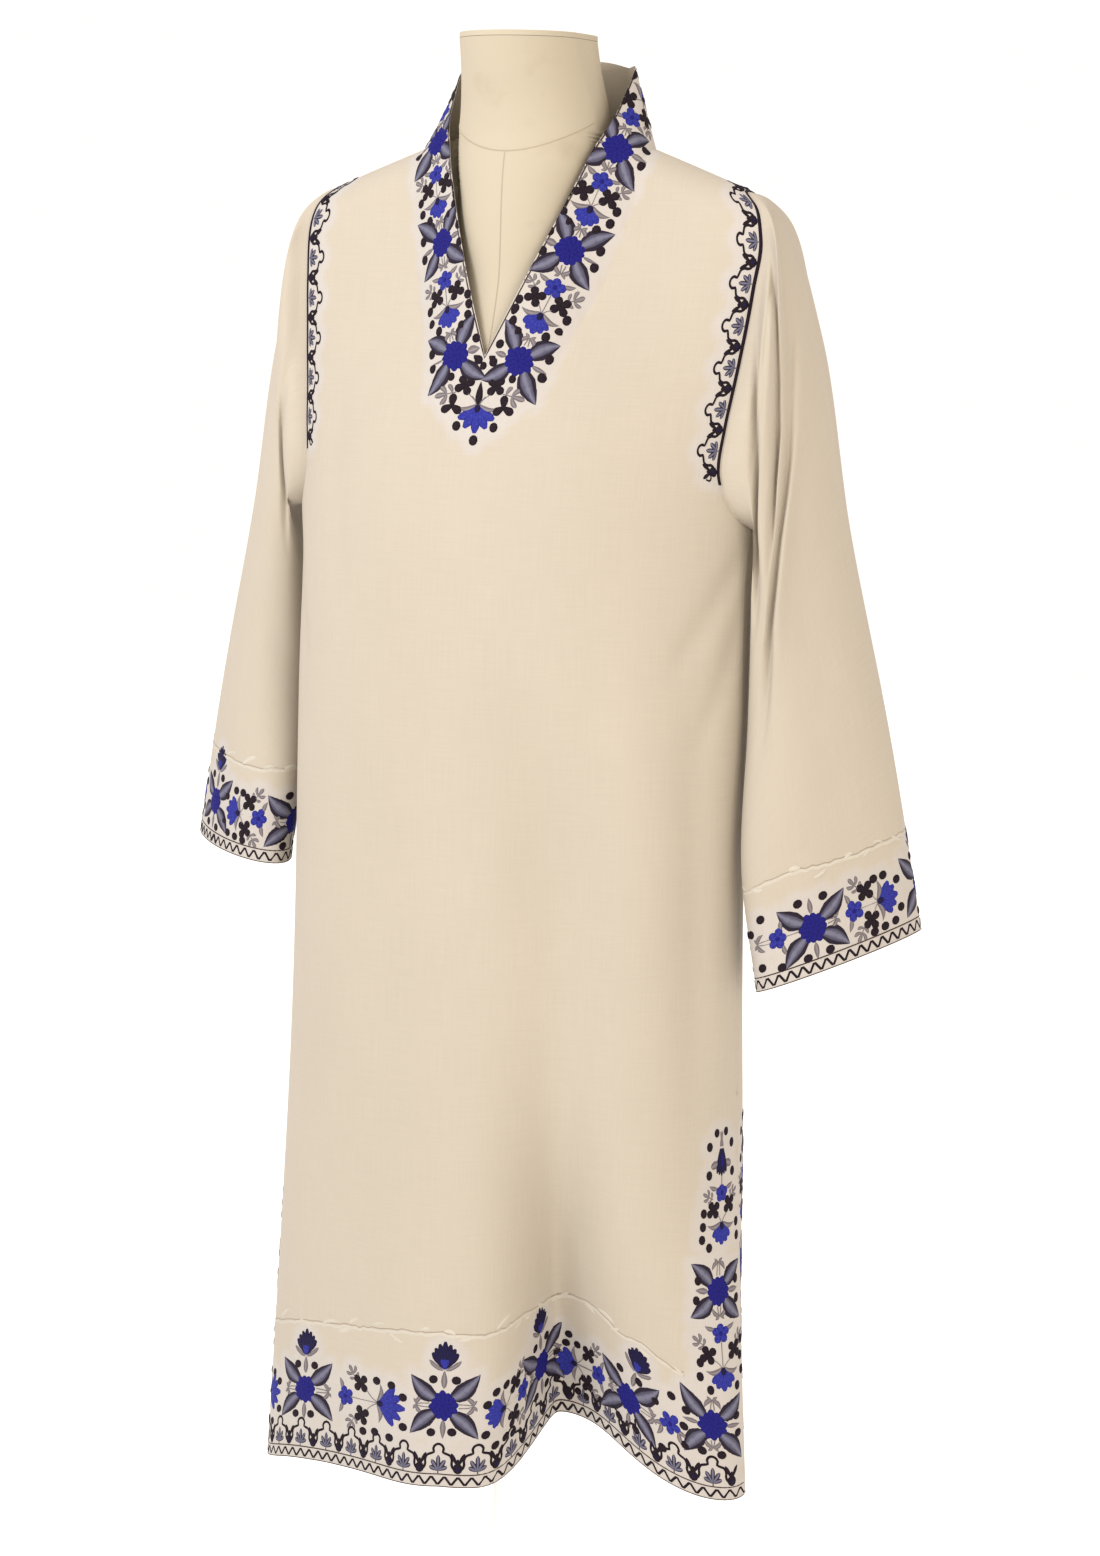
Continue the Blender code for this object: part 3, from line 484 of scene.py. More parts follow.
def sleeve_places(halves, side):
    """A sleeve's places, from the armhole seam to the cuff, with the first column repeated."""
    front, back = halves[-1, side][0], halves[1, side][0]
    down = front[::-1][:YOKE_ROWS + 1, -1]
    up = back[-YOKE_ROWS:-1, -1]
    loop = to_room(np.concatenate([down, up]), side)
    high, low = loop[:, 2].min(), loop[:, 2].max()
    turn = np.arccos(np.clip(1 - 2 * (loop[:, 2] - high) / (low - high), -1, 1))
    turn[YOKE_ROWS + 1:] = 2 * math.pi - turn[YOKE_ROWS + 1:]
    even = np.linspace(0, 2 * math.pi, len(loop) + 1)[:-1]
    outward = np.ones((len(turn), 3)) * SLEEVE_HEAD_WAY
    outward[:, 1] *= -np.sin(turn)
    rows = []
    for along in (np.arange(SLEEVE_ROWS + 1) / SLEEVE_ROWS) ** SLEEVE_CROWDING:
        settle = ease(along, 0, SLEEVE_HEAD_SHARE)
        now = turn + (even - turn) * settle
        head = loop + outward * along * SLEEVE_HEAD_REACH
        ring = head * (1 - settle) + sleeve_ring(along, now, side) * settle
        inward = ring.mean(axis=0) - ring
        inward /= np.linalg.norm(inward, axis=1, keepdims=True)
        depth = sleeve_fold(now, along, side) + pleat_depth(now, along, side)
        rows.append(to_room(ring + inward * depth[:, None], side))
    grid = np.array(rows)
    return np.concatenate([grid, grid[:, :1]], axis=1)


def collar_places(halves):
    """The collar and band, from the neckline seam to the free edge, once round from the centre
    back by the wearer's left."""
    levels = panel_levels()
    rings = []
    for side in (1, -1):
        back, front = (
            halves[face, side][0][levels >= 1 + NECK_CLIMB[face] - TINY, 0] for face in (1, -1)
        )
        seam = np.concatenate([back[:-1], front[::-1]])
        share = lengths(seam)
        share = share / share[-1]
        edge = np.stack([read(COLLAR_EDGE, name, share) for name in ("x", "y", "drop")], -1)
        edge[0, 0] = edge[-1, 0] = 0
        edge = to_room(edge, side)
        climb = np.linspace(0, 1, COLLAR_ROWS + 1)[:, None, None]
        rings.append(seam + (edge - seam) * climb)
    return np.concatenate([rings[0], rings[1][:, -2::-1]], axis=1)


def grid_quads(index):
    """Quads of a grid of vertex numbers."""
    a, b, c, d = index[:-1, :-1], index[:-1, 1:], index[1:, 1:], index[1:, :-1]
    return np.stack([a, b, c, d], -1).reshape(-1, 4)


def shared_normals(pieces):
    """Outward direction at each vertex, smooth across the seams that pieces share."""
    places = np.concatenate([piece["places"] for piece in pieces])
    starts = np.cumsum([0] + [len(piece["places"]) for piece in pieces])
    quads = np.concatenate([piece["quads"] + start for piece, start in zip(pieces, starts)])
    a, b, c, d = (places[quads[:, i]] for i in range(4))
    faces = np.cross(c - a, d - b)
    _, place = np.unique(np.round(places * 1e5).astype(np.int64), axis=0, return_inverse=True)
    place = place.ravel()
    total = np.zeros((place.max() + 1, 3))
    for i in range(4):
        np.add.at(total, place[quads[:, i]], faces)
    total /= np.maximum(np.linalg.norm(total, axis=1, keepdims=True), NO_SIZE)
    for piece, start in zip(pieces, starts):
        piece["normals"] = total[place[start:start + len(piece["places"])]]


def open_edges(quads):
    """The edges that one quad alone has, in that quad's direction."""
    pairs = np.concatenate([quads[:, [i, (i + 1) % 4]] for i in range(4)])
    low, high = pairs.min(axis=1), pairs.max(axis=1)
    key = low.astype(np.int64) * (pairs.max() + 1) + high
    _, first, count = np.unique(key, return_index=True, return_counts=True)
    return pairs[first[count == 1]]


def cloth_shell(name, piece, thickness):
    """One closed wall of cloth: the outer face, the inner face and the edges between them."""
    places, quads, normals = piece["places"], piece["quads"], piece["normals"]
    count = len(places)
    edges = open_edges(quads)
    rim = np.stack([edges[:, 1], edges[:, 0], edges[:, 0] + count, edges[:, 1] + count], 1)
    faces = np.concatenate([quads, quads[:, ::-1] + count, rim])
    both = np.concatenate([places, places - normals * thickness])
    made = mesh_object(name, both, faces, np.concatenate([piece["uv"], piece["uv"]]))
    made.data.normals_split_custom_set_from_vertices(np.concatenate([normals, -normals]))
    return made


def placed(name, data):
    """An object in the scene."""
    made = bpy.data.objects.new(name, data)
    bpy.context.scene.collection.objects.link(made)
    return made


def mesh_object(name, places, quads, uv):
    """A smooth mesh object; uv holds one pair for each vertex."""
    mesh = bpy.data.meshes.new(name)
    mesh.from_pydata(places.tolist(), [], quads.tolist())
    layer = mesh.uv_layers.new(name="UVMap")
    corners = np.empty(len(mesh.loops), dtype=np.int32)
    mesh.loops.foreach_get("vertex_index", corners)
    layer.data.foreach_set("uv", uv[corners].astype(np.float32).ravel())
    mesh.shade_smooth()
    return placed(name, mesh)


def panel_piece(halves, face):
    """The front or back as one cloth, closed at the centre below the neckline."""
    closed = closed_rows(face)
    left, right = halves[face, 1], halves[face, -1]
    rows, columns = left[0].shape[:2]
    index_left = np.arange(rows * columns).reshape(rows, columns)
    index_right = index_left + rows * columns
    index_right[closed, 0] = index_left[closed, 0]
    quads = [grid_quads(index_left), grid_quads(index_right)]
    turned = 1 if face < 0 else 0
    quads[turned] = quads[turned][:, ::-1]
    quads = np.concatenate(quads)
    places = np.concatenate([left[0].reshape(-1, 3), right[0].reshape(-1, 3)])
    uv = np.concatenate([left[1].reshape(-1, 3), right[1].reshape(-1, 3)])[:, :2] * (1, -1)
    used = np.unique(quads)
    number = np.zeros(len(places), int)
    number[used] = np.arange(len(used))
    return {
        "places": places[used],
        "quads": number[quads],
        "uv": uv[used],
        "grids": {1: number[index_left], -1: number[index_right]},
    }


def tube_piece(grid, flip):
    """A closed ring of cloth from a grid whose last column repeats the first."""
    rows, columns = grid.shape[:2]
    index = np.arange(rows * (columns - 1)).reshape(rows, columns - 1)
    index = np.concatenate([index, index[:, :1]], axis=1)
    quads = grid_quads(index)
    if flip:
        quads = quads[:, ::-1]
    along = lengths(grid[:, columns // 4])
    around = lengths(grid[rows // 2])
    u, v = np.meshgrid(around[:-1], along)
    uv = np.stack([u.ravel(), v.ravel()], 1)
    return {"places": grid[:, :-1].reshape(-1, 3), "quads": quads, "uv": uv, "grids": {0: index}}


class Nodes:
    """A material's nodes, made in short calls."""

    def __init__(self, name):
        self.material = bpy.data.materials.new(name)
        self.material.use_nodes = True
        self.tree = self.material.node_tree
        self.shader = self.tree.nodes["Principled BSDF"]

    def add(self, kind, settings=None, **inputs):
        """A node with some of its settings and inputs; an input that is a socket is linked."""
        node = self.tree.nodes.new(kind)
        for name, value in (settings or {}).items():
            setattr(node, name, value)
        for name, value in inputs.items():
            socket = node.inputs[int(name[1:])] if name[1:].isdigit() else node.inputs[name]
            self.put(socket, value)
        return node

    def put(self, socket, value):
        """Set an input, or link it."""
        if isinstance(value, bpy.types.NodeSocket):
            self.tree.links.new(value, socket)
        else:
            socket.default_value = value

    def math(self, operation, a, b=0):
        """A sum of two values."""
        return self.add("ShaderNodeMath", {"operation": operation}, _0=a, _1=b).outputs[0]

    def ramp(self, value, *stops):
        """A value or colour that changes with another; stops are (place, colour)."""
        node = self.add("ShaderNodeValToRGB", None, Fac=value)
        ramp = node.color_ramp
        while len(ramp.elements) < len(stops):
            ramp.elements.new(0.5)
        for element, (place, colour) in zip(ramp.elements, stops):
            element.position = place
            element.color = (*colour, 1) if isinstance(colour, tuple) else (colour,) * 3 + (1,)
        return node.outputs["Color"]

    def mix(self, share, a, b):
        """A mix of two colours."""
        node = self.add("ShaderNodeMix", {"data_type": "RGBA"})
        self.put(node.inputs[0], share)
        for socket, value in ((node.inputs[6], a), (node.inputs[7], b)):
            self.put(socket, (*value, 1) if isinstance(value, tuple) else value)
        return node.outputs[2]

    def noise(self, vector, scale, detail=2):
        """Soft noise at some places."""
        node = self.add("ShaderNodeTexNoise", None, Vector=vector, Scale=scale, Detail=detail)
        return node.outputs["Fac"]

    def scaled(self, vector, x, y, z=1):
        """Places stretched along each way."""
        return self.add("ShaderNodeMapping", None, Vector=vector, Scale=(x, y, z)).outputs["Vector"]

    def wave(self, value, rate):
        """A sine wave of a value."""
        return self.math("SINE", self.math("MULTIPLY", value, rate))

    def sewn_places(self):
        """The mesh's UV, and its two parts."""
        uv = self.add("ShaderNodeUVMap", {"uv_map": "UVMap"}).outputs["UV"]
        parts = self.add("ShaderNodeSeparateXYZ", None, Vector=uv)
        return uv, parts.outputs[0], parts.outputs[1]

    def surface(self, colour, roughness, specular=0.5):
        """Set the shader's colour, roughness and shine."""
        inputs = self.shader.inputs
        self.put(inputs["Base Color"], (*colour, 1) if isinstance(colour, tuple) else colour)
        self.put(inputs["Roughness"], roughness)
        self.put(inputs["Specular IOR Level"], specular)
        return self.material

    def bump(self, height, strength, distance):
        """Raise the surface by a height."""
        node = self.add("ShaderNodeBump", None, Height=height, Strength=strength, Distance=distance)
        self.put(self.shader.inputs["Normal"], node.outputs["Normal"])


halves = {(face, side): half_panel(face, side) for face in (-1, 1) for side in (-1, 1)}
join_edges(halves)
sleeves = {side: sleeve_places(halves, side) for side in (-1, 1)}
collar = collar_places(halves)

pieces = {
    "front_panel": panel_piece(halves, -1),
    "back_panel": panel_piece(halves, 1),
    "sleeve_left": tube_piece(sleeves[1], False),
    "sleeve_right": tube_piece(sleeves[-1], True),
    "collar_band": tube_piece(collar, True),
}
shared_normals(list(pieces.values()))


MM = 0.001
STRIP_STEP = 0.002
SINK = 0.00012
KINDS = ("indigo", "royal", "navy", "leaf", "grey", "black", "line", "shade", "facing_highlight", "cream")

# Outlines of stitched shapes: share of the length and of the full width
SHAPES = {
    "leaf": ((0, 0.2), (0.13, 0.7), (0.36, 1), (0.6, 0.86), (0.82, 0.48), (1, 0.06)),
    "petal": ((0, 0.42), (0.3, 0.76), (0.64, 1), (0.86, 0.84), (1, 0.42)),
    "oval": ((0, 0.34), (0.16, 0.78), (0.5, 1), (0.84, 0.78), (1, 0.34)),
    "bar": ((0, 0.6), (0.15, 0.95), (0.85, 0.95), (1, 0.6)),
}
SECTIONS = {"leaf": 9, "petal": 6, "oval": 7, "bar": 5}
ACROSS = np.array([-1, -0.82, -0.42, 0, 0.42, 0.82, 1])


class Strip:
    """A stretch of cloth with its own measure: s along it and h across it, in metres."""

    def __init__(self, places, reference, origin_row=0, origin_s=0):
        steps = np.linalg.norm(np.diff(places, axis=0), axis=-1)
        across = np.concatenate([np.zeros((1, places.shape[1])), np.cumsum(steps, axis=0)])
        across = across - across[origin_row]
        along = lengths(places[reference]) + origin_s
        self.s = np.arange(along[0], along[-1] + STRIP_STEP, STRIP_STEP)
        self.h = np.arange(across.min(), across.max() + STRIP_STEP, STRIP_STEP)
        column = np.interp(self.s, along, np.arange(len(along)))
        left = np.minimum(column.astype(int), len(along) - 2)
        mix = (column - left)[:, None]
        rows = places.transpose(1, 0, 2)
        lines = rows[left] * (1 - mix[..., None]) + rows[left + 1] * mix[..., None]
        heights = across.T[left] * (1 - mix) + across.T[left + 1] * mix
        self.table = np.array([
            np.stack([np.interp(self.h, height, line[:, i]) for i in range(3)], -1)
            for height, line in zip(heights, lines)
        ])

    def place(self, s, h):
        """Places in the room for places on the strip."""
        column = np.clip((s - self.s[0]) / STRIP_STEP, 0, len(self.s) - 1.001)
        row = np.clip((h - self.h[0]) / STRIP_STEP, 0, len(self.h) - 1.001)
        i, j = column.astype(int), row.astype(int)
        u, v = (column - i)[..., None], (row - j)[..., None]
        low = self.table[i, j] * (1 - u) + self.table[i + 1, j] * u
        high = self.table[i, j + 1] * (1 - u) + self.table[i + 1, j + 1] * u
        return low * (1 - v) + high * v


class Line:
    """A stretch of cloth measured from a line drawn on it: s along the line, h square to it."""

    def __init__(self, points, outward):
        self.s = lengths(points)
        self.points = points
        way = np.gradient(points, axis=0)
        side = np.cross(outward, way)
        self.side = side / np.linalg.norm(side, axis=1, keepdims=True)

    def place(self, s, h):
        """Places in the room, to be laid down on the cloth, for places on the line."""
        base = np.stack([np.interp(s, self.s, self.points[:, i]) for i in range(3)], -1)
        side = np.stack([np.interp(s, self.s, self.side[:, i]) for i in range(3)], -1)
        return base + side * h[..., None]


def on_cloth(tree, places):
    """The nearest places on a tree's faces, and the way those face."""
    found = [tree.find_nearest(Vector(place))[:2] for place in places]
    return np.array([hit[0] for hit in found]), np.array([hit[1] for hit in found])


class Sewing:
    """Raised stitches of one piece of cloth, gathered as one mesh."""

    def __init__(self):
        self.places, self.heights, self.quads, self.kinds, self.uv = [], [], [], [], []
        self.count = 0

    def add(self, places, heights, rows, columns, kind, uv):
        """One grid of stitches; places, heights and uv run row by row."""
        index = np.arange(rows * columns).reshape(rows, columns) + self.count
        quads = grid_quads(index)
        self.places.append(places)
        self.heights.append(heights)
        self.uv.append(uv)
        self.quads.append(quads)
        self.kinds.append(np.full(len(quads), KINDS.index(kind)))
        self.count += rows * columns

    def build(self, name, tree, materials):
        """Lay the stitches on the cloth."""
        ground, normal = on_cloth(tree, np.concatenate(self.places))
        quads = np.concatenate(self.quads)
        raised = ground + normal * np.concatenate(self.heights)[:, None]
        a, b, c, d = (raised[quads[:, i]] for i in range(4))
        under = np.einsum("ij,ij->i", np.cross(c - a, d - b), normal[quads[:, 0]]) < 0
        quads[under] = quads[under][:, ::-1]
        made = mesh_object(name, raised, quads, np.concatenate(self.uv))
        for material in materials:
            made.data.materials.append(material)
        made.data.polygons.foreach_set("material_index", np.concatenate(self.kinds))
        made.data.update()
        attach(made, "root")
        return made, ground


class Pen:
    """Lays shapes on a strip of cloth, in millimetres from one place and way on it."""

    def __init__(self, sewing, strip, s, h, turn=0, flip=1, stretch=1, squeeze=1):
        self.sewing, self.strip, self.s, self.h = sewing, strip, s * MM, h * MM
        self.turn, self.flip = math.radians(turn), flip
        self.stretch, self.squeeze = stretch, squeeze

    def flat(self, x, y):
        """Places on the strip for places in the pen's millimetres."""
        y = y * self.flip
        cos, sin = math.cos(self.turn), math.sin(self.turn)
        along = (x * cos - y * sin) * self.stretch
        aside = (x * sin + y * cos) * self.squeeze
        return self.s + along * MM, self.h + aside * MM

    def moved(self, x, y, turn=0):
        """Another pen, placed and turned from this one."""
        s, h = self.flat(x, y)
        way = math.degrees(self.turn) + turn * self.flip
        size = (self.flip, self.stretch, self.squeeze)
        return Pen(self.sewing, self.strip, s / MM, h / MM, way, *size)

    def blade(self, kind, x, y, turn, length, width, shape, bow=0, rise=0.6):
        """A filled shape from (x, y) along a way, with a bow to its left."""
        count = SECTIONS[shape]
        t = np.linspace(0, 1, count)
        share = np.interp(t, *zip(*SHAPES[shape]))
        cos, sin = math.cos(math.radians(turn)), math.sin(math.radians(turn))
        along = (t * length)[:, None] + 0 * ACROSS
        aside = (bow * 4 * t * (1 - t))[:, None] + share[:, None] * ACROSS * width / 2
        edge = 1 - np.abs(ACROSS) ** 3
        end = np.minimum(1, 0.45 + 6 * t * (1 - t))
        high = rise * MM * edge * (0.35 + 0.65 * share[:, None]) * end[:, None] - SINK
        px, py = x + along * cos - aside * sin, y + along * sin + aside * cos
        places = self.strip.place(*self.flat(px.ravel(), py.ravel()))
        uv = np.stack([along.ravel() / 10, (0 * along + (ACROSS + 1) / 2).ravel()], -1)
        self.sewing.add(places, high.ravel(), count, len(ACROSS), kind, uv)

    def leaf(self, x, y, turn, length, width, bow=0, rise=0.5):
        """A grey leaf."""
        self.blade("grey", x, y, turn, length, width, "leaf", bow, rise)

    def dots(self, *places, radius=3.8):
        """Filled spots."""
        for x, y in places:
            self.blade("black", x - radius, y, 0, 2 * radius, 2 * radius, "oval", rise=0.9)

    def thread(self, kind, points, width, rise=0.5):
        """A stitched line through points."""
        points = np.array(points, float)
        way = np.gradient(points, axis=0)
        way /= np.linalg.norm(way, axis=1, keepdims=True)
        side = np.stack([-way[:, 1], way[:, 0]], 1)
        across = np.array([-1, 0, 1])
        laid = points[:, None] + side[:, None] * across[:, None] * width / 2
        high = np.tile([-SINK, rise * MM, -SINK], len(points))
        places = self.strip.place(*self.flat(laid[..., 0].ravel(), laid[..., 1].ravel()))
        u = np.repeat(lengths(points) / 10, 3)
        uv = np.stack([u, np.tile([0, 0.5, 1], len(points))], -1)
        self.sewing.add(places, high, len(points), 3, kind, uv)


def level_line(xs, y):
    """Points at one distance across, or at one distance each."""
    return np.stack([xs, y + 0 * xs], 1)


def on_circle(radius, degrees):
    """The place on a circle round the pen in one direction."""
    return radius * math.cos(math.radians(degrees)), radius * math.sin(math.radians(degrees))


def curve(points, count):
    """More points on a smooth line through a few."""
    points = np.array(points, float)
    knots = lengths(points)
    at = np.linspace(0, knots[-1], count)
    return np.stack([smooth_through(knots, points[:, i], at) for i in range(2)], 1)


def sprig(pen, size):
    """A small grey spray of leaflets that opens along the pen's way."""
    pen.blade("grey", 0, 0, 0, 9 * size, 4.4 * size, "petal", rise=0.4)
    for side in (-1, 1):
        pen.blade("grey", 0, 0, 50 * side, 8 * size, 4 * size, "petal", side * 0.9, 0.4)
        pen.blade("grey", -4 * size, 0, 66 * side, 6.5 * size, 3.4 * size, "petal", side * 0.6, 0.4)
    pen.thread("grey", ((-6 * size, 0), (0, 0)), 1.1)


def axis_sprig(pen, start, end):
    """Two thin stems between flowers with a pair of curled leaves near the far end."""
    for side in (-1, 1):
        pen.thread("grey", ((start, 1.6 * side), (end - 5, 1.3 * side), (end, 0.3 * side)), 1.1)
        pen.leaf(end, 0, 180 - 42 * side, 10.5, 4.4, -1.6 * side, 0.4)
        pen.leaf(end - 1, 0.5 * side, 48 * side, 5.5, 3.2, 0.5, 0.4)


def petals(pen, kind, count, first, reach, width, rise, wobble=(0, 0)):
    """A ring of petals from the pen's place; their length changes a little round the ring."""
    for i in range(count):
        length = reach * (1 + wobble[0] * math.sin(wobble[1] * i))
        pen.blade(kind, 0, 0, 360 / count * i + first, length, width, "petal", rise=rise)


def disc_flower(pen):
    """A scalloped disc of short petals."""
    for i in range(12):
        turn = 360 * i / 12 + 6
        reach = 12.2 * (1 + 0.06 * math.sin(2.3 * i + pen.s * 90))
        pen.blade("indigo", *on_circle(3.2, turn), turn, reach - 3.2, 6.8, "petal", rise=0.75)
    petals(pen, "indigo", 7, 0, 6.8, 5.6, 1)


def big_flower(pen, leaf, spread):
    """The disc flower with four pointed leaves; the pen's way is the band's way."""
    for i, base in enumerate((spread, 180 - spread, 180 + spread, -spread)):
        turn = base + 3 * math.sin(1.7 * i + pen.s * 60)
        length = leaf - 8 + 1.5 * math.sin(2.9 * i + pen.s * 40)
        bow = 1.8 if i % 2 else -1.8
        pen.blade("leaf", *on_circle(8, turn), turn, length, 16.6, "leaf", bow, 0.8)
    disc_flower(pen)


def small_flower(pen, radius=8.4):
    """A royal blue flower of five petals with a grey leaf to each side."""
    for side in (-1, 1):
        pen.leaf(-3.5, 5.5 * side, 108 * side, 10.5, 4.6, -1 * side, 0.4)
    petals(pen, "royal", 5, 36, radius, 7.6, 0.75, (0.08, 2.1))
    pen.blade("indigo", -2.4, 0, 0, 4.8, 4.6, "oval", rise=1)


def clover(pen, radius=8.4):
    """A near-black flower of four lobes."""
    petals(pen, "black", 4, 38, radius, 7.6, 0.8, (0.06, 2.7))


def trefoil(pen):
    """A near-black flower of three lobes."""
    petals(pen, "black", 3, 0, 9.5, 7.6, 0.8)


def fan_flower(pen, length, spread=46):
    """A royal blue flower opening from its base along the pen's way, between two grey sepals."""
    for side in (-1, 1):
        pen.leaf(-1.5, 0.8 * side, 82 * side, 16.5, 5.4, -3.2 * side, 0.45)
    for i in (-2, 2, -1, 1, 0):
        reach, rise = length * (1 - 0.07 * abs(i)), 0.7 + 0.08 * (2 - abs(i))
        pen.blade("royal", 0, 0, spread * i / 2, reach, 8.2, "petal", -0.5 * i, rise)
    pen.blade("navy", -1.5, 0, 0, 7.2, 6.2, "oval", rise=1.15)


def bud_flower(pen, length):
    """A dark bud on a stem leaf, opening along the pen's way from a royal blue base."""
    pen.leaf(-15.5, 0, 0, 15.5, 6)
    for side in (-1, 1):
        pen.blade("grey", -0.5, 1.2 * side, 56 * side, 15, 4.2, "bar", 0.8 * side, 0.4)
    for i in (-3, 3, -2, 2, -1, 1, 0):
        reach, rise = length * (1 - 0.075 * abs(i)), 0.72 + 0.03 * (3 - abs(i))
        pen.blade("navy", 1, 0, 13.6 * i, reach - 1, 6.4, "petal", rise=rise)
    for i in (-1, 1, 0):
        pen.blade("royal", 0.5, 0, 18 * i, 9.5, 4.6, "petal", rise=1.1)


def stems(pen, start, ends):
    """Thin stems that leave one place for several."""
    for x, y in ends:
        middle = ((start[0] + x) / 2, start[1] + (y - start[1]) * 0.35)
        pen.thread("grey", curve((start, middle, (x, y)), 6), 0.8)


def vine_unit(pen, thread_width=2.6):
    """One repeat of the border vine, 32 mm along the pen's way and about 25 mm high: an arch with
    a small loop on top over a grey spray, then a near-black bud."""
    half = (
        (-16, 3.4), (-12.8, 5), (-11, 8.6), (-11.2, 12.6), (-9.6, 16.2), (-6.2, 17.6), (-3.8, 18.6),
        (-4.4, 21.6), (-2.8, 24.4),
    )
    arch = half + ((0, 25.4),) + tuple((-x, y) for x, y in half[::-1])
    pen.thread("black", curve(arch, 38), thread_width, 0.6)
    for turn, reach in ((90, 13), (58, 11), (122, 11), (26, 8.4), (154, 8.4)):
        pen.blade("leaf", 0, 3.2, turn, reach, 4.4, "petal", rise=0.4)
    pen.thread("leaf", ((0, 0.4), (0, 4)), 1.3)
    pen.blade("black", 16, 1.2, 90, 8.6, 8.6, "oval", rise=0.9)
    pen.blade("navy", 16, 2.6, 90, 5, 4.6, "oval", rise=1.2)
    for turn, reach in ((90, 6), (63, 12), (117, 12)):
        pen.blade("black", 16, 7.4, turn, reach, 3.4, "petal", rise=0.65)


def zigzag(pen, start, end, low, high, period, width):
    """A zigzag line along the pen's way."""
    count = int(round((end - start) / period * 2))
    corners = np.linspace(start, end, count + 1)
    xs = np.stack([corners - 0.55, corners + 0.55], 1).ravel()
    ys = np.repeat(np.where(np.arange(count + 1) % 2, high, low), 2)
    pen.thread("black", np.stack([xs, ys], 1), width)


def straight(pen, start, end, y, width):
    """A thin brown line along the pen's way."""
    pen.thread("line", level_line(np.arange(start, end + 2, 4), y), width, 0.4)


def cloth_tree(*nodes):
    """A search tree over the outer faces of some pieces of cloth."""
    places, quads, count = [], [], 0
    for node in nodes:
        places.append(pieces[node]["places"])
        quads.append(pieces[node]["quads"] + count)
        count += len(pieces[node]["places"])
    return BVHTree.FromPolygons(
        np.concatenate(places).tolist(), np.concatenate(quads).tolist(), all_triangles=False
    )


FACE_NODE = {-1: "front_panel", 1: "back_panel"}
SIDE_NODE = {-1: "sleeve_right", 1: "sleeve_left"}
# Rows of cloth under each strip, and how high up the strip s is measured
HEM_ROWS = 46
HEM_MIDDLE = 0.057
SLIT_ROWS = 100
SLIT_REFERENCE = 0.035
ARMHOLE_REFERENCE = 3
CUFF_ROWS = 40
CUFF_MIDDLE = 0.045
CUFF_START = {-1: 0.067, 1: 0}


def nearest_row(places, height):
    """The row of a grid of places that lies this far from its first row, at its middle."""
    middle = places[:, places.shape[1] // 2]
    return int(np.argmin(np.abs(lengths(middle) - height)))


def grid_values(node, key, what="places"):
    """A piece's places, or its normals, in the rows and columns of one of its grids."""
    return pieces[node][what][pieces[node]["grids"][key]]


def hem_strip(face):
    """Along a hem from the wearer's right to left; s is 0 at the centre, h is up from the edge."""
    right, left = (grid_values(FACE_NODE[face], side)[:HEM_ROWS] for side in (-1, 1))
    places = np.concatenate([right[:, ::-1], left[:, 1:]], axis=1)
    row = nearest_row(places, HEM_MIDDLE)
    to_centre = lengths(places[row])[right.shape[1] - 1]
    return Strip(places, row, 0, -to_centre)


def slit_strip(face, side):
    """Up a slit from the hem; h is inward from the side edge."""
    grid = grid_values(FACE_NODE[face], side)[:SLIT_ROWS, :HALF_COLUMNS // 2:-1]
    places = grid.transpose(1, 0, 2)
    return Strip(places, nearest_row(places, SLIT_REFERENCE))


def armhole_strip(face, side):
    """Down an armhole from the shoulder; h is inward from the seam."""
    grid = grid_values(FACE_NODE[face], side)[::-1][:YOKE_ROWS + 1, :HALF_COLUMNS // 2:-1]
    return Strip(grid.transpose(1, 0, 2), ARMHOLE_REFERENCE)


def cuff_strip(side):
    """Twice round a cuff from its outer fold by the front; h is up from the edge."""
    grid = grid_values(SIDE_NODE[side], 0)[::-1][:CUFF_ROWS]
    places = np.concatenate([grid, grid[:, 1:]], axis=1)
    return Strip(places, nearest_row(places, CUFF_MIDDLE), 0, -CUFF_START[side])


def collar_strip(side):
    """Up the collar's band from the neckline's point to the centre back; h is from the middle of
    the band towards its free edge."""
    grid = grid_values("collar_band", 0)
    point = (grid.shape[1] - 1) // 2
    places = grid[:, point::-1] if side > 0 else grid[:, point:]
    return Strip(places, COLLAR_ROWS // 3, COLLAR_ROWS // 2)


neck_tree = cloth_tree("collar_band", "front_panel", "back_panel")

# A run of the pattern from one big flower to the next, in mm from the first: the small flower, the
# clovers and half the gap between them, the fan's base and tip, and the dots to either side
NECK_RUN = (32, 44, 10.5, (56, 73), (
    (52.7, -21), (60.7, -20.5), (68.7, -18), (75.3, -11), (50.7, 19.6), (61.9, 18.5), (71.4, 11),
))
SLIT_RUN = (34, 50, 13.5, (63, 81), (
    (44, 24), (56.5, 21.5), (68.5, 22.5), (79, 14.5), (57.5, -21.5), (69, -22.5), (79.5, -13.5),
))
HEM_RUN = (35, 48.5, 13.5, (63, 84), (
    (61, 18.5), (73, 17.5), (82, 9.5), (51, -27), (61, -25), (73, -26.5), (83, -15),
))
CUFF_RUN = (36, 49, 12, (59, 79), (
    (57.5, 18.5), (67, 18.5), (80, 11), (51, -22), (61.5, -21), (72.5, -20), (80.5, -11.5),
))
NECK_RUN_LENGTH = 96.8
DOWN_FRONT_POINTS = 48


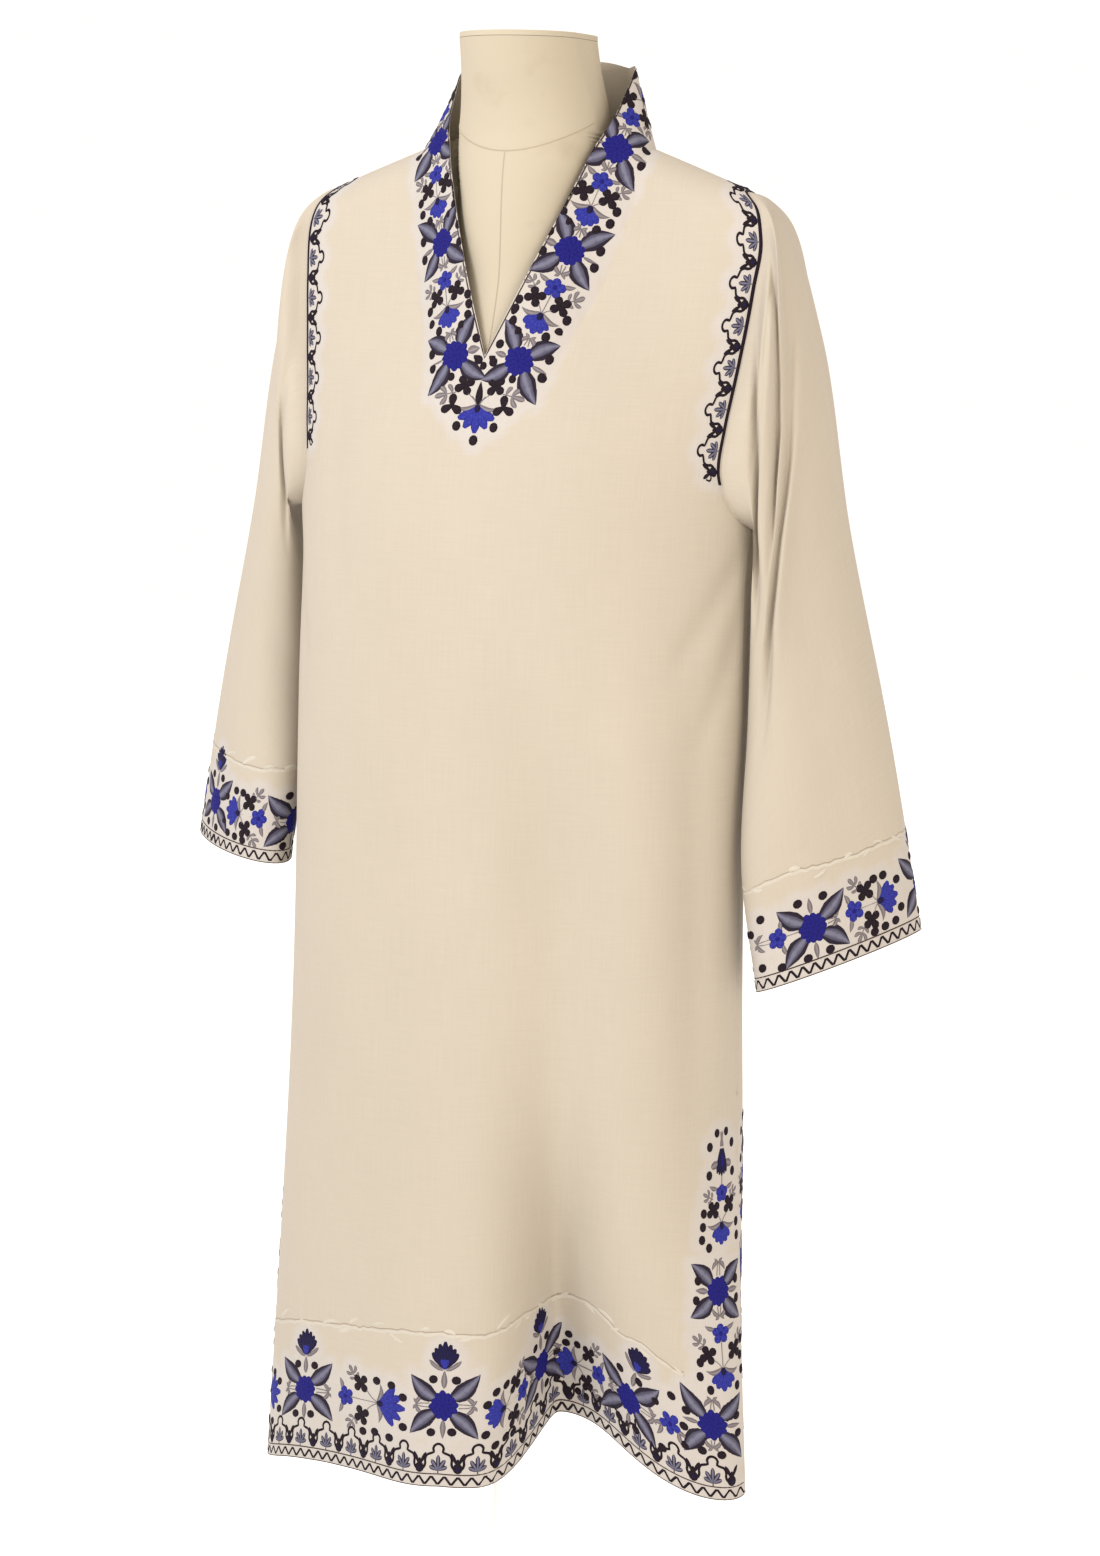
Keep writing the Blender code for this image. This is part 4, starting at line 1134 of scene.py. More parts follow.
def run(pen, layout, scale=1):
    """From a big flower along the pen's way: stems, a small flower, two clovers and a fan that
    opens toward the next big flower."""
    small, clovers, gap, fan, dots = layout
    small, clovers = small * scale, clovers * scale
    base, tip = (place * scale for place in fan)
    axis_sprig(pen, 12.5, 20.5 * scale)
    pen.thread("grey", ((small + 5, 0), (base, 0)), 0.9)
    stems(pen, (base, 0), ((clovers + 4, gap - 3), (clovers + 4, 3 - gap)))
    small_flower(pen.moved(small, 0))
    for side in (-1, 1):
        sprig(pen.moved(clovers - 9, (gap + 7) * side, 125 * side), 0.95)
        clover(pen.moved(clovers - side, gap * side, 9 * side))
    fan_flower(pen.moved(base, 0), tip - base)
    pen.dots(*((x * scale, y) for x, y in dots))


# Dots round a big flower
BAND_DOTS = ((-6.5, -20.5), (7.5, -19.5), (-10.5, 21), (5, 22))
HEM_DOTS = ((-9.5, 21.5), (10, 21.5), (-10, -22.5), (7.5, -21.6))
CORNER_DOTS = ((-22, 6.5), (-24, -7.5), (21.5, 7.5), (23, -7), (-9, -22.5), (7, -24))
SLIT_DOTS = ((-8, -21.5), (8.5, -22.5), (-7.5, 21.5), (8, 22.5))
SLIT_TOP_DOTS = ((40, -21), (51, -21.5), (61.5, -22), (68, -14), (51, 21), (62, 21.5))
CUFF_DOTS = ((-12, 22), (9.5, 22.5), (-11, -21), (8, -22))

# The big flowers of a hem: place along it, height, stretch of the pattern, and the lean of the bud
# over it or None at a corner. Then the runs between them: from which place, which way, scale
HEM_BIGS = {
    -1: (
        (-317, 58, 1, None), (-157, 62, 1.15, 0), (3, 68, 1, 0), (111, 58, 1, 0), (213, 47, 1, -14),
        (289, 62, 1, None),
    ),
    1: (
        (-317, 64, 1, None), (-212, 66, 1, 0), (-106, 68, 1, 0), (0, 68, 1, 0), (106, 68, 1, 0),
        (212, 66, 1, 0), (316, 64, 1, None),
    ),
}
HEM_RUNS = {
    -1: ((-317, 1, 1.46), (-157, 1, 1.48), (111, -1, 0.88), (213, -1, 0.97)),
    1: (
        (-317, 1, 1), (-212, 1, 1.02), (-106, 1, 1.02), (106, -1, 1.02), (212, -1, 1.02),
        (316, -1, 1),
    ),
}
VINE_PERIOD = 32
ARMHOLE_SQUEEZE = 0.7
ARMHOLE_END = {-1: 230, 1: 242}
SLIT_BIG = 171
SLIT_TOP = 274
SLIT_MIDDLE = 27
SLIT_SQUEEZE = 0.84
SLIT_RUN_TURN = 184.5
SLIT_RUN_SQUEEZE = 0.88
FAR_SLIT_SQUEEZE = 0.6
CUFF_RING = 342


def facing_way(way):
    """The turn of a pen that goes up (1) or down (-1) a strip."""
    return 0 if way > 0 else 180


def hem_border(sewing, strip, end):
    """The zigzag, the thin line and the vine along a hem."""
    pen = Pen(sewing, strip, 0, 0)
    zigzag(pen, -end, end, 2.6, 8.4, 11, 2.6)
    straight(pen, -end, end, 10.8, 1.4)
    straight(pen, -end, end, 0.5, 1.1)
    count = int(end / VINE_PERIOD)
    for i in range(-count, count + 1):
        vine_unit(pen.moved(i * VINE_PERIOD, 10.6))


def hem_pattern(sewing, face):
    """All the embroidery along one hem."""
    strip = hem_strip(face)
    hem_border(sewing, strip, strip.s[-1] / MM - 5)
    bigs, runs = HEM_BIGS[face], HEM_RUNS[face]
    for s, h, stretch, lean in bigs:
        pen = Pen(sewing, strip, s, h, 0, 1, stretch)
        if lean is None:
            big_flower(pen, 38, 46)
            axis_sprig(pen.moved(0, 0, 90), 12.5, 21)
            axis_sprig(pen.moved(0, 0, -90), 12.5, 19)
            for way in (0, 180):
                pen.leaf(*on_circle(11.5, way), way, 14, 4.4)
            pen.dots(*CORNER_DOTS)
        else:
            big_flower(pen, 39, 41)
            pen.leaf(0, -12, -90, 16, 5.6)
            bud_flower(pen.moved(0, 0, 90 + lean).moved(29.5, 0), 23.5)
            pen.dots(*HEM_DOTS)
    heights = {s: h for s, h, _, _ in bigs}
    for s, way, scale in runs:
        stretch = max(1, min(scale, 1.2))
        pen = Pen(sewing, strip, s, heights[s], facing_way(way), way, stretch)
        run(pen, HEM_RUN, scale / stretch)
    started = {(s, way) for s, way, _ in runs}
    for s, h, _, lean in bigs:
        for way in (-1, 1):
            if lean is not None and (s, way) not in started:
                axis_sprig(Pen(sewing, strip, s, h, facing_way(way), way), 12.5, 25)
    if face < 0:
        pen = Pen(sewing, strip, 253, 51)
        small_flower(pen.moved(0, 0, 90), 9.5)
        for side in (-1, 1):
            pen.leaf(-7.5 * side, -3, -90 - 22 * side, 13, 4.6, 1.5 * side)
        pen.dots((1, 24), (13, -12), (-7, -24), (-14, 12))
        Pen(sewing, strip, 145, 73).dots((0, 0))


def slit_pattern(sewing, face, side):
    """The band up one side of a slit, with the slender bud that ends it."""
    strip = slit_strip(face, side)
    narrow = FAR_SLIT_SQUEEZE if side < 0 else 1
    middle = SLIT_MIDDLE * narrow
    squeeze = SLIT_SQUEEZE * narrow
    big = Pen(sewing, strip, SLIT_BIG, middle, 180, 1, 1, squeeze)
    big_flower(big, 36, 51)
    for way in (-90, 90):
        big.leaf(0, on_circle(11, way)[1], way, 13, 6)
    big.dots(*SLIT_DOTS)
    leaning = Pen(sewing, strip, SLIT_BIG, middle, SLIT_RUN_TURN, 1, 1, SLIT_RUN_SQUEEZE * narrow)
    run(leaning, SLIT_RUN)
    top = Pen(sewing, strip, SLIT_TOP, 0.9 * middle, 180, 1, 1, squeeze)
    for i in (-2, 2, -1, 1, 0):
        top.blade("navy", -11, 0.9 * i, 6 * i, 22 - abs(i), 4.8, "petal", rise=0.8)
    top.blade("indigo", -7, 0, 0, 12, 4.6, "oval", rise=1.1)
    for y in (-3.4, 0, 3.4):
        top.leaf(-12, y * 0.6, 180 + 5 * y, 14, 3)
    for way in (-1, 1):
        top.blade("grey", 0, 4.5 * way, 70 * way, 9.5, 7.4, "oval", rise=0.5)
        top.dots((-24, 6.2 * way), radius=3.5)
        top.dots((-13.5, 15 * way), (9.5, 15.5 * way))
        sprig(top.moved(27, 15.5 * way, 115 * way), 0.85)
        clover(top.moved(36 - 1.5 * way, 10 * way), 8)
    small_flower(top.moved(24.5, 0), 7.2)
    top.thread("grey", ((11, 0), (20, 0)), 1.1)
    stems(top, (49, 0), ((41, 6), (41, -6)))
    fan_flower(top.moved(49, 0), 17, 44)
    axis_sprig(Pen(sewing, strip, SLIT_BIG, middle, 0, 1, 1, squeeze), 12.5, 24)
    top.dots(*SLIT_TOP_DOTS)


def armhole_pattern(sewing, face, side):
    """The thick line along an armhole seam and the vine beside it."""
    strip = armhole_strip(face, side)
    end = ARMHOLE_END[side]
    Pen(sewing, strip, 0, 0).thread("black", level_line(np.arange(0, end, 4), 1.9), 3.3, 0.9)
    narrow = Pen(sewing, strip, 0, 2.5, 0, 1, 1, ARMHOLE_SQUEEZE)
    x = end - 28
    while x > -VINE_PERIOD / 2:
        vine_unit(narrow.moved(x, 0), 2.8)
        x -= VINE_PERIOD
    tail = ((end - 12, 11.5), (end - 8, 8.5), (end - 5, 11), (end - 6, 15))
    narrow.thread("black", curve(tail, 8), 2)


def cuff_pattern(sewing, side):
    """The embroidery round one cuff."""
    strip = cuff_strip(side)
    pen = Pen(sewing, strip, 0, 0)
    zigzag(pen, 0, CUFF_RING, 2.6, 8.8, 10.06, 2.6)
    straight(pen, 0, CUFF_RING, 11.2, 1.5)
    straight(pen, 0, CUFF_RING, 0.5, 1.2)
    near, far = 102, 216
    for s, h in ((near, 36), (far, 38), (CUFF_RING - 12, 38)):
        big = Pen(sewing, strip, s, h)
        big_flower(big, 36.5, 39)
        big.leaf(0, -11.5, -90, 14, 5)
        if s == near:
            big.leaf(0, 11.5, 90, 13, 5)
        else:
            bud_flower(big.moved(0, 0, 90).moved(27.5, 0), 22)
        big.dots(*CUFF_DOTS)
    for s, way in ((near, -1), (far, 1)):
        run(Pen(sewing, strip, s, 37, facing_way(way), way), CUFF_RUN)
    for s, way in ((near, 1), (far, -1)):
        pen = Pen(sewing, strip, s, 37, facing_way(way), way)
        pen.thread("grey", ((12, 0), (24, 0)), 1)
        small_flower(pen.moved(30, 0), 8)
        axis_sprig(pen, 36, 49)
        pen.dots((42, 19), (47, -19), (54, 9), (30, -23))


def seen_from(tree, starts, way):
    """The first places of a tree's faces that rays along one way meet."""
    return np.array([tree.ray_cast(Vector(start), Vector(way))[0] for start in starts])


def down_front():
    """A line down the middle of the front from the neckline's point."""
    point = NECK_POINT_HEIGHT - COLLAR_EDGE["drop"][-1]
    starts = [(0, -0.5, point - i * 2 * MM) for i in range(DOWN_FRONT_POINTS)]
    points = seen_from(neck_tree, starts, (0, 1, 0))
    return Line(points, np.tile((0, -1, 0), (len(points), 1)))


# The middle of the neck's band: place up the collar strip from the point, height on it
NECK_LINE = {
    1: (
        (26, -17), (48, -6), (74, 2), (106, 4), (136, 9), (172, 9), (202, 9), (230, 7), (256, 7),
        (300, 7), (377, 7),
    ),
    -1: (
        (26, -12), (44, 0), (76, 4), (108, 6), (142, 8), (174, 8), (206, 7), (238, 7), (260, 7),
        (300, 7), (377, 7),
    ),
}
NECK_BIGS = {1: (48, 136, 230, 322), -1: (44, 142, 236, 324)}


def band_line(side):
    """A line up the middle of the neck's band, from beside the point to the centre back."""
    strip = collar_strip(side)
    knots = np.array(NECK_LINE[side], float)
    s = np.arange(knots[0, 0], min(knots[-1, 0], strip.s[-1] / MM - 1), 2)
    points = strip.place(s * MM, np.interp(s, knots[:, 0], knots[:, 1]) * MM)
    return Line(*on_cloth(neck_tree, points)), s


def neck_pattern(sewing):
    """The band round the neck and the motif below its point."""
    for side in (1, -1):
        line, s = band_line(side)
        places = [np.interp(place, s, line.s) / MM for place in NECK_BIGS[side]]
        down = [Pen(sewing, line, place, 0, 180, side) for place in places]
        up = [Pen(sewing, line, place, 0, 0, -side) for place in places]
        for i, pen in enumerate(down):
            big_flower(pen, 35, 45)
            pen.leaf(0, -11, -90, 10.5, 4.8)
            pen.leaf(0, 11, 84, 14, 5.2)
            pen.dots(*BAND_DOTS)
            if i in (1, 2):
                run(pen, NECK_RUN, (places[i] - places[i - 1]) / NECK_RUN_LENGTH)
                axis_sprig(up[i - 1], 12.5, 19.5)
        run(up[2], NECK_RUN, (places[3] - places[2]) / NECK_RUN_LENGTH)
        axis_sprig(down[3], 12.5, 19.5)
        axis_sprig(up[3], 12.5, 21)
        small_flower(up[3].moved(33, 0))
        up[3].dots((30, 18), (42, 17), (30, -18), (42, -17))
    pen = Pen(sewing, down_front(), 0, 0)
    for side in (-1, 1):
        pen.dots((1, 6.4 * side), radius=3)
        pen.dots((17.5, 25.5 * side), radius=3.3)
        stems(pen, (40, 0), ((29.5, 10 * side), (32, 5.5 * side)))
        clover(pen.moved(23.5, 13 * side, 10 * side), 8.4)
        sprig(pen.moved(31, 27 * side, 78 * side), 1.25)
        trefoil(pen.moved(40, 21.5 * side, 62 * side))
        pen.dots((55.5, 15.5 * side))
    pen.dots((8, 0), radius=3.1)
    pen.blade("black", 40, 0, 180, 20, 6.6, "leaf", rise=0.9)
    fan_flower(pen.moved(39.5, 0), 21, 56)
    pen.dots((66, 0), radius=4)


def panel_pattern(sewing, face):
    """The embroidery of the front or the back."""
    hem_pattern(sewing, face)
    for side in (-1, 1):
        slit_pattern(sewing, face, side)
        armhole_pattern(sewing, face, side)


# Thread colours: plain, paler and darker. The paler one is random grain in most threads, and a
# painted highlight down the middle of leaf and grey shapes. The darker one is the real outline of
# leaf and grey shapes, and painted shade toward the sides of the stitches of the others. The shade
# kind is the facing's sewing thread, a little darker than the cloth, with painted shade of the
# crease. The facing's paler cream kind is painted highlight on its ridge and puckers.
THREADS = {
    "indigo": ((0.007, 0.006, 0.1), (0.013, 0.012, 0.15), (0.005, 0.004, 0.06)),
    "royal": ((0.013, 0.015, 0.158), (0.032, 0.037, 0.25), (0.007, 0.007, 0.08)),
    "navy": ((0.006, 0.004, 0.022), (0.012, 0.01, 0.045), (0.004, 0.003, 0.014)),
    "leaf": ((0.062, 0.058, 0.086), (0.13, 0.126, 0.17), (0.015, 0.011, 0.019)),
    "grey": ((0.125, 0.106, 0.108), (0.19, 0.168, 0.172), (0.068, 0.056, 0.06)),
    "black": ((0.008, 0.004, 0.007), (0.015, 0.009, 0.013), (0.005, 0.003, 0.004)),
    "line": ((0.045, 0.028, 0.022), (0.06, 0.04, 0.034), (0.034, 0.021, 0.017)),
    "shade": ((0.29, 0.243, 0.182), (0.32, 0.27, 0.205), (0.26, 0.215, 0.16)),
    "facing_highlight": ((0.465, 0.425, 0.35), (0.485, 0.445, 0.37), (0.43, 0.39, 0.32)),
}
EDGE_WIDTH = {"leaf": 0.52, "grey": 0.78}


def thread_material(kind):
    """Chain stitches of embroidery thread, in rows along each shape, with painted shade toward the
    sides of each stitch; leaf and grey shapes instead have a painted highlight down the middle
    inside a real dark outline.
    """
    nodes = Nodes("thread_" + kind)
    plain, light, dark = THREADS[kind]
    uv, along, across = nodes.sewn_places()
    off = nodes.math("MULTIPLY", nodes.math("ABSOLUTE", nodes.math("SUBTRACT", across, 0.5)), 2)
    grain = nodes.noise(nodes.scaled(uv, 4, 9), 1)
    colour = nodes.mix(nodes.ramp(grain, (0.35, 0), (0.72, 1)), plain, light)
    if kind in EDGE_WIDTH:
        # A paler band down the middle of each leaf and grey shape: painted highlight, inside the
        # real dark outline.
        rows = nodes.noise(nodes.scaled(uv, 1.1, 2), 1.6)
        middle_highlight = nodes.math("ADD", off, nodes.math("MULTIPLY", rows, 0.5))
        colour = nodes.mix(nodes.ramp(middle_highlight, (0.36, 1), (0.62, 0)), plain, light)
        width = EDGE_WIDTH[kind]
        colour = nodes.mix(nodes.ramp(off, (width - 0.06, 0), (width + 0.06, 1)), colour, dark)
    else:
        # Darker toward the sides of each stitch: painted shade.
        colour = nodes.mix(nodes.ramp(off, (0.55, 0), (0.98, 0.8)), colour, dark)
    links = nodes.math("MULTIPLY", nodes.wave(along, 44), 0.5)
    nodes.bump(nodes.math("ADD", nodes.wave(across, 26), links), 0.5, 0.0002)
    return nodes.surface(colour, 0.72, 0.1)


CREAM = (0.392, 0.343, 0.27)
GROUND = (0.4, 0.366, 0.326)
HALO_NEAR = 0.0035
HALO_FAR = 0.0095
WEAVE_RATE = 2 * math.pi / 0.0007


def cloth_surface():
    """Fine plain weave with faint slubs, paler and cooler on the ground of the embroidery."""
    nodes = Nodes("cream_cloth")
    uv, across, down = nodes.sewn_places()
    ground = nodes.add("ShaderNodeAttribute", {"attribute_name": "ground"}).outputs["Fac"]
    weft = nodes.noise(nodes.scaled(uv, 30, 900), 1)
    warp = nodes.noise(nodes.scaled(uv, 900, 22), 1)
    patches = nodes.noise(nodes.scaled(uv, 9, 6), 1, 3)
    slubs = nodes.math("ADD", nodes.math("ADD", weft, warp), patches)
    darker = nodes.ramp(nodes.math("MULTIPLY", slubs, 1 / 3), (0.36, 0.955), (0.64, 1.03))
    tint = nodes.add("ShaderNodeMix", {"data_type": "RGBA", "blend_type": "MULTIPLY"}, _0=1)
    nodes.put(tint.inputs[6], nodes.mix(ground, CREAM, GROUND))
    nodes.put(tint.inputs[7], darker)
    threads = nodes.math("MULTIPLY", nodes.wave(across, WEAVE_RATE), nodes.wave(down, WEAVE_RATE))
    weave = nodes.math("MULTIPLY", threads, 0.35)
    nodes.bump(nodes.math("ADD", weave, nodes.math("MULTIPLY", slubs, 2)), 0.35, 0.00012)
    nodes.shader.inputs["Sheen Weight"].default_value = 0.06
    return nodes.surface(tint.outputs[2], 0.72, 0.25)


def embroider(name, tree, draw, *where):
    """One mesh of stitches on the cloth, and the places where they lie."""
    sewing = Sewing()
    draw(sewing, *where)
    return sewing.build(name, tree, thread_materials)


cloth_material = cloth_surface()
thread_materials = [thread_material(kind) for kind in KINDS[:-1]] + [cloth_material]
stitched = {}
for nodes, pattern in ((FACE_NODE, panel_pattern), (SIDE_NODE, cuff_pattern)):
    for key, node in nodes.items():
        stitched[node] = embroider(node + "_embroidery", cloth_tree(node), pattern, key)
stitched["collar_band"] = embroider("neck_embroidery", neck_tree, neck_pattern)


def ground_share(places, stitches):
    """How much each place on the cloth lies on the pale ground beside stitches."""
    near = KDTree(len(stitches))
    for i, place in enumerate(stitches):
        near.insert(Vector(place), i)
    near.balance()
    away = np.array([near.find(Vector(place))[2] for place in places])
    return 1 - ease(away, HALO_NEAR, HALO_FAR)


FACING_STEP = 5
FACING_MARGIN = 8


def facing_line(sewing, strip, knots, seed):
    """The stitched line of a facing, with small puckers to either side of it. The ridge of the line
    and the puckers are a paler cream of painted highlight; the thin darker line beside the ridge is
    the sewing thread with painted shade of the crease.
    """
    pen = Pen(sewing, strip, 0, 0)
    knots = np.array(knots, float)
    xs = np.arange(knots[0, 0], knots[-1, 0], FACING_STEP)
    dice = np.random.default_rng(seed)
    ys = smooth_through(knots[:, 0], knots[:, 1], xs) + dice.uniform(-0.8, 0.8, len(xs))
    # The ridge in a paler cream: painted highlight.
    pen.thread("facing_highlight", level_line(xs, ys), 3.2, 0.5)
    # The darker line: the sewing thread, a little darker than the cloth, and painted shade of the
    # crease along it.
    pen.thread("shade", level_line(xs, ys + 2.2 + dice.uniform(-0.5, 0.5, len(xs))), 1.4, 0.2)
    x = xs[0] + FACING_MARGIN
    while x < xs[-1] - FACING_MARGIN:
        side = dice.choice((-1, 1))
        turn = dice.uniform(5, 30) * dice.choice((-1, 1))
        length, width = dice.uniform(9, 20), dice.uniform(2.6, 4.6)
        lift = dice.uniform(0.4, 0.8)
        y = float(np.interp(x, xs, ys)) + side * dice.uniform(1, 4)
        # Each pucker in a paler cream: painted highlight.
        pen.blade("facing_highlight", x, y, turn, length, width, "oval", side, lift)
        x += dice.uniform(10, 34)


# Facings' stitched lines: place along the hem or cuff, height
HEM_FACING = {
    -1: (
        (-345, 126), (-169, 120), (-81, 122), (-19, 126), (43, 124), (70, 122), (121, 110),
        (135, 108), (157, 110), (173, 108), (185, 104), (199, 99), (231, 102), (249, 98), (269, 96),
    ),
    1: ((-345, 126), (-170, 131), (0, 129), (120, 132), (345, 126)),
}
CUFF_FACING = ((0, 80), (60, 78), (120, 83), (180, 77), (250, 82), (342, 80))
HEM_SEED = 5
CUFF_SEED = 9


def hem_facing(sewing, face):
    """The stitched line over one hem."""
    facing_line(sewing, hem_strip(face), HEM_FACING[face], HEM_SEED + face)


def cuff_facing(sewing, side):
    """The stitched line over one cuff."""
    facing_line(sewing, cuff_strip(side), CUFF_FACING, CUFF_SEED + side)


def whole_line(sewing, points, outward, kind, rise):
    """A thread along a line on the cloth."""
    line = Line(points, outward)
    Pen(sewing, line, 0, 0).thread(kind, level_line(line.s / MM, 0), 1.5, rise)


def collar_edge_lines(sewing):
    """The brown piping just inside the collar's free edge."""
    edge = grid_values("collar_band", 0)
    normal = grid_values("collar_band", 0, "normals")
    whole_line(sewing, edge[-1] * 0.45 + edge[-2] * 0.55, normal[-1], "line", 0.5)


trims = {node: [stitched[node][0]] for node in pieces}
for nodes, facing in ((FACE_NODE, hem_facing), (SIDE_NODE, cuff_facing)):
    for key, node in nodes.items():
        trims[node].append(embroider(node + "_facing", cloth_tree(node), facing, key)[0])
piping = embroider("collar_piping", cloth_tree("collar_band"), collar_edge_lines)[0]
trims["collar_band"].append(piping)

neck_ground = stitched["collar_band"][1]
for node, piece in pieces.items():
    made = cloth_shell(node + "_cloth", piece, CLOTH_THICKNESS)
    made.data.materials.append(cloth_material)
    stitches = stitched[node][1]
    if node == "front_panel":
        stitches = np.concatenate([stitches, neck_ground])
    share = ground_share(piece["places"], stitches)
    layer = made.data.attributes.new("ground", "FLOAT", "POINT")
    layer.data.foreach_set("value", np.concatenate([share, 0 * share]).astype(np.float32))
    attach(made, "root")
    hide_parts(node)


# The dress form
TORSO = table("drop half_width front_y back_y", (
    (-0.1, 0.168, -0.04, 0.07), (0, 0.167, -0.042, 0.075), (0.1, 0.16, -0.06, 0.086),
    (0.2, 0.15, -0.088, 0.09), (0.27, 0.148, -0.103, 0.086), (0.42, 0.12, -0.082, 0.066),
    (0.6, 0.156, -0.088, 0.082), (0.7, 0.158, -0.086, 0.084), (0.76, 0.152, -0.082, 0.08),
))
NECK = table("drop half_width middle_y front_y back_y", (
    (-0.09, 0.0472, -0.018, -0.066, 0.036), (-0.06, 0.0505, -0.005, -0.056, 0.046),
    (-0.03, 0.056, 0.007, -0.046, 0.056), (-0.01, 0.059, 0.01, -0.043, 0.054),
    (0.02, 0.056, 0.006, -0.048, 0.045), (0.04, 0.053, 0.004, -0.05, 0.044),
    (0.07, 0.052, 0.002, -0.051, 0.038), (0.1, 0.05, 0.002, -0.053, 0.03),
    (0.13, 0.05, 0.002, -0.06, 0.02), (0.16, 0.04, 0, -0.068, 0.01),
))
TORSO_SPREAD = 2.5
TORSO_ROUNDNESS = 2.2
SHOULDER_BLEND = 0.012
NECK_BLEND = 0.006
SIDE_TURN = 0.2
FORM_CLEARANCE_TOP = 0.0021
FORM_CLEARANCE_FACE = 0.005
FORM_CLEARANCE_RISE = 0.03
NECK_FILLET = 0.022
NECK_FALL = 4
# Over these drops the neck leaves the shoulders' shape. Above them its sides lie here along Y,
# and its back is a little squarer than an ellipse
NECK_FREE = (-0.045, -0.005)
NECK_SIDE_Y = 0.012
NECK_SQUARENESS = 2.8
NECK_TOP_DROP = -0.08
FORM_BOTTOM_DROP = 0.76
FORM_SIDES = 144
FORM_STEP = 0.003
FORM_COLOUR = (0.395, 0.342, 0.252)
FORM_STAIN = (0.33, 0.275, 0.19)
FORM_SEAM_HEIGHT = 1.42
FORM_SEAM_DIP = 0.024
FORM_SEAM_TURN = 86
FORM_SEAM_POINTS = 49
CHEST_SEAM_POINTS = 60
SHARP_ANGLE = math.radians(50)
TOUCH_GAP = 0.0003
CAP_HEIGHT = 0.004


def soft_min(a, b, blend):
    """The smaller of two values, with a rounded change from one to the other."""
    mix = np.clip(0.5 + 0.5 * (b - a) / blend, 0, 1)
    return b * (1 - mix) + a * mix - blend * mix * (1 - mix)


def soft_max(a, b, blend):
    """The larger of two values, with a rounded change from one to the other."""
    return -soft_min(-a, -b, blend)


def form_face_y(x, drop, face):
    """Where the form's surface lies, inside the cloth over the shoulders."""
    half_width = read(TORSO, "half_width", drop)
    side = read(BODY, "side_y", drop)
    under_cloth = cloth_y(x, drop - FORM_CLEARANCE_TOP, face)
    clearance = FORM_CLEARANCE_FACE * ease(np.abs(under_cloth - side), 0, FORM_CLEARANCE_RISE)
    under_cloth = under_cloth - face * clearance
    profile = read(TORSO, "front_y" if face < 0 else "back_y", drop)
    out = np.clip(x / half_width, 0, 1)
    own = side + (profile - side) * (1 - out ** TORSO_SPREAD) ** (1 / TORSO_ROUNDNESS)
    torso = -face * np.maximum(-face * under_cloth, -face * own)
    neck_half, middle = read(NECK, "half_width", drop), read(NECK, "middle_y", drop)
    neck_depth = read(NECK, "front_y" if face < 0 else "back_y", drop) - middle
    neck = middle + neck_depth * np.sqrt(np.maximum(1 - (x / neck_half) ** 2, 0))
    neck = neck - face * NECK_FALL * np.maximum(x - neck_half, 0)
    if face < 0:
        return soft_min(torso, neck, NECK_FILLET)
    return soft_max(torso, neck, NECK_FILLET)


def form_ring(drop):
    """One level ring of the dress form, from the centre front toward the wearer's left."""
    slant = (drop - FORM_CLEARANCE_TOP) / SHOULDER_SLOPE
    slant = max(slant + math.hypot(NECK_POINT_HALF_WIDTH, SHOULDER_SOFTNESS), SHOULDER_SOFTNESS)
    shoulder = math.sqrt(slant ** 2 - SHOULDER_SOFTNESS ** 2)
    reach = soft_min(shoulder, float(read(TORSO, "half_width", drop)), SHOULDER_BLEND)
    reach = float(soft_max(reach, float(read(NECK, "half_width", drop)), NECK_BLEND))
    turn = 2 * math.pi * np.arange(FORM_SIDES) / FORM_SIDES
    x = reach * np.sin(turn)
    free = 1 - float(ease(drop, *NECK_FREE))
    edge = float(read(BODY, "side_y", drop))
    edge += (NECK_SIDE_Y - edge) * free
    front, back = (form_face_y(np.abs(x), drop, face) for face in (-1, 1))
    bulge = np.maximum(1 - np.abs(np.sin(turn)) ** NECK_SQUARENESS, 0)
    bare = edge + (read(NECK, "back_y", drop) - edge) * bulge ** (1 / NECK_SQUARENESS)
    back = back + (bare - back) * free
    y = np.where(np.cos(turn) > 0, front, back)
    fade = np.minimum(np.abs(np.cos(turn)) / SIDE_TURN, 1)
    return np.stack([x, edge + (y - edge) * fade, np.full(len(x), NECK_POINT_HEIGHT - drop)], 1)


def rings_object(name, rings, material):
    """A closed body from level rings, with its ends closed to their middles."""
    around = rings.shape[1]
    ends = [np.repeat(ring.mean(axis=0)[None, None], around, 1) for ring in (rings[0], rings[-1])]
    grid = np.concatenate([ends[0], rings, ends[1]])
    index = np.arange(grid.shape[0] * around).reshape(grid.shape[0], around)
    index[0] = 0
    index[-1] = index[-1, 0]
    index = np.concatenate([index, index[:, :1]], axis=1)
    quads = grid_quads(index)[:, ::-1]
    faces = [list(dict.fromkeys(quad)) for quad in quads.tolist()]
    places = grid.reshape(-1, 3)
    used = sorted({vertex for face in faces for vertex in face})
    number = {vertex: i for i, vertex in enumerate(used)}
    mesh = bpy.data.meshes.new(name)
    faces = [[number[vertex] for vertex in face] for face in faces]
    mesh.from_pydata(places[used].tolist(), [], faces)
    mesh.shade_smooth()
    mesh.set_sharp_from_angle(angle=SHARP_ANGLE)
    mesh.materials.append(material)
    return placed(name, mesh)


def turned(name, profile, material, segments):
    """A round body from a profile of (radius, height)."""
    turn = 2 * math.pi * np.arange(segments) / segments
    x, y, up = np.sin(turn), -np.cos(turn), np.ones(segments)
    rings = [np.stack([x * radius, y * radius, up * height], 1) for radius, height in profile]
    return rings_object(name, np.array(rings)[::-1], material)


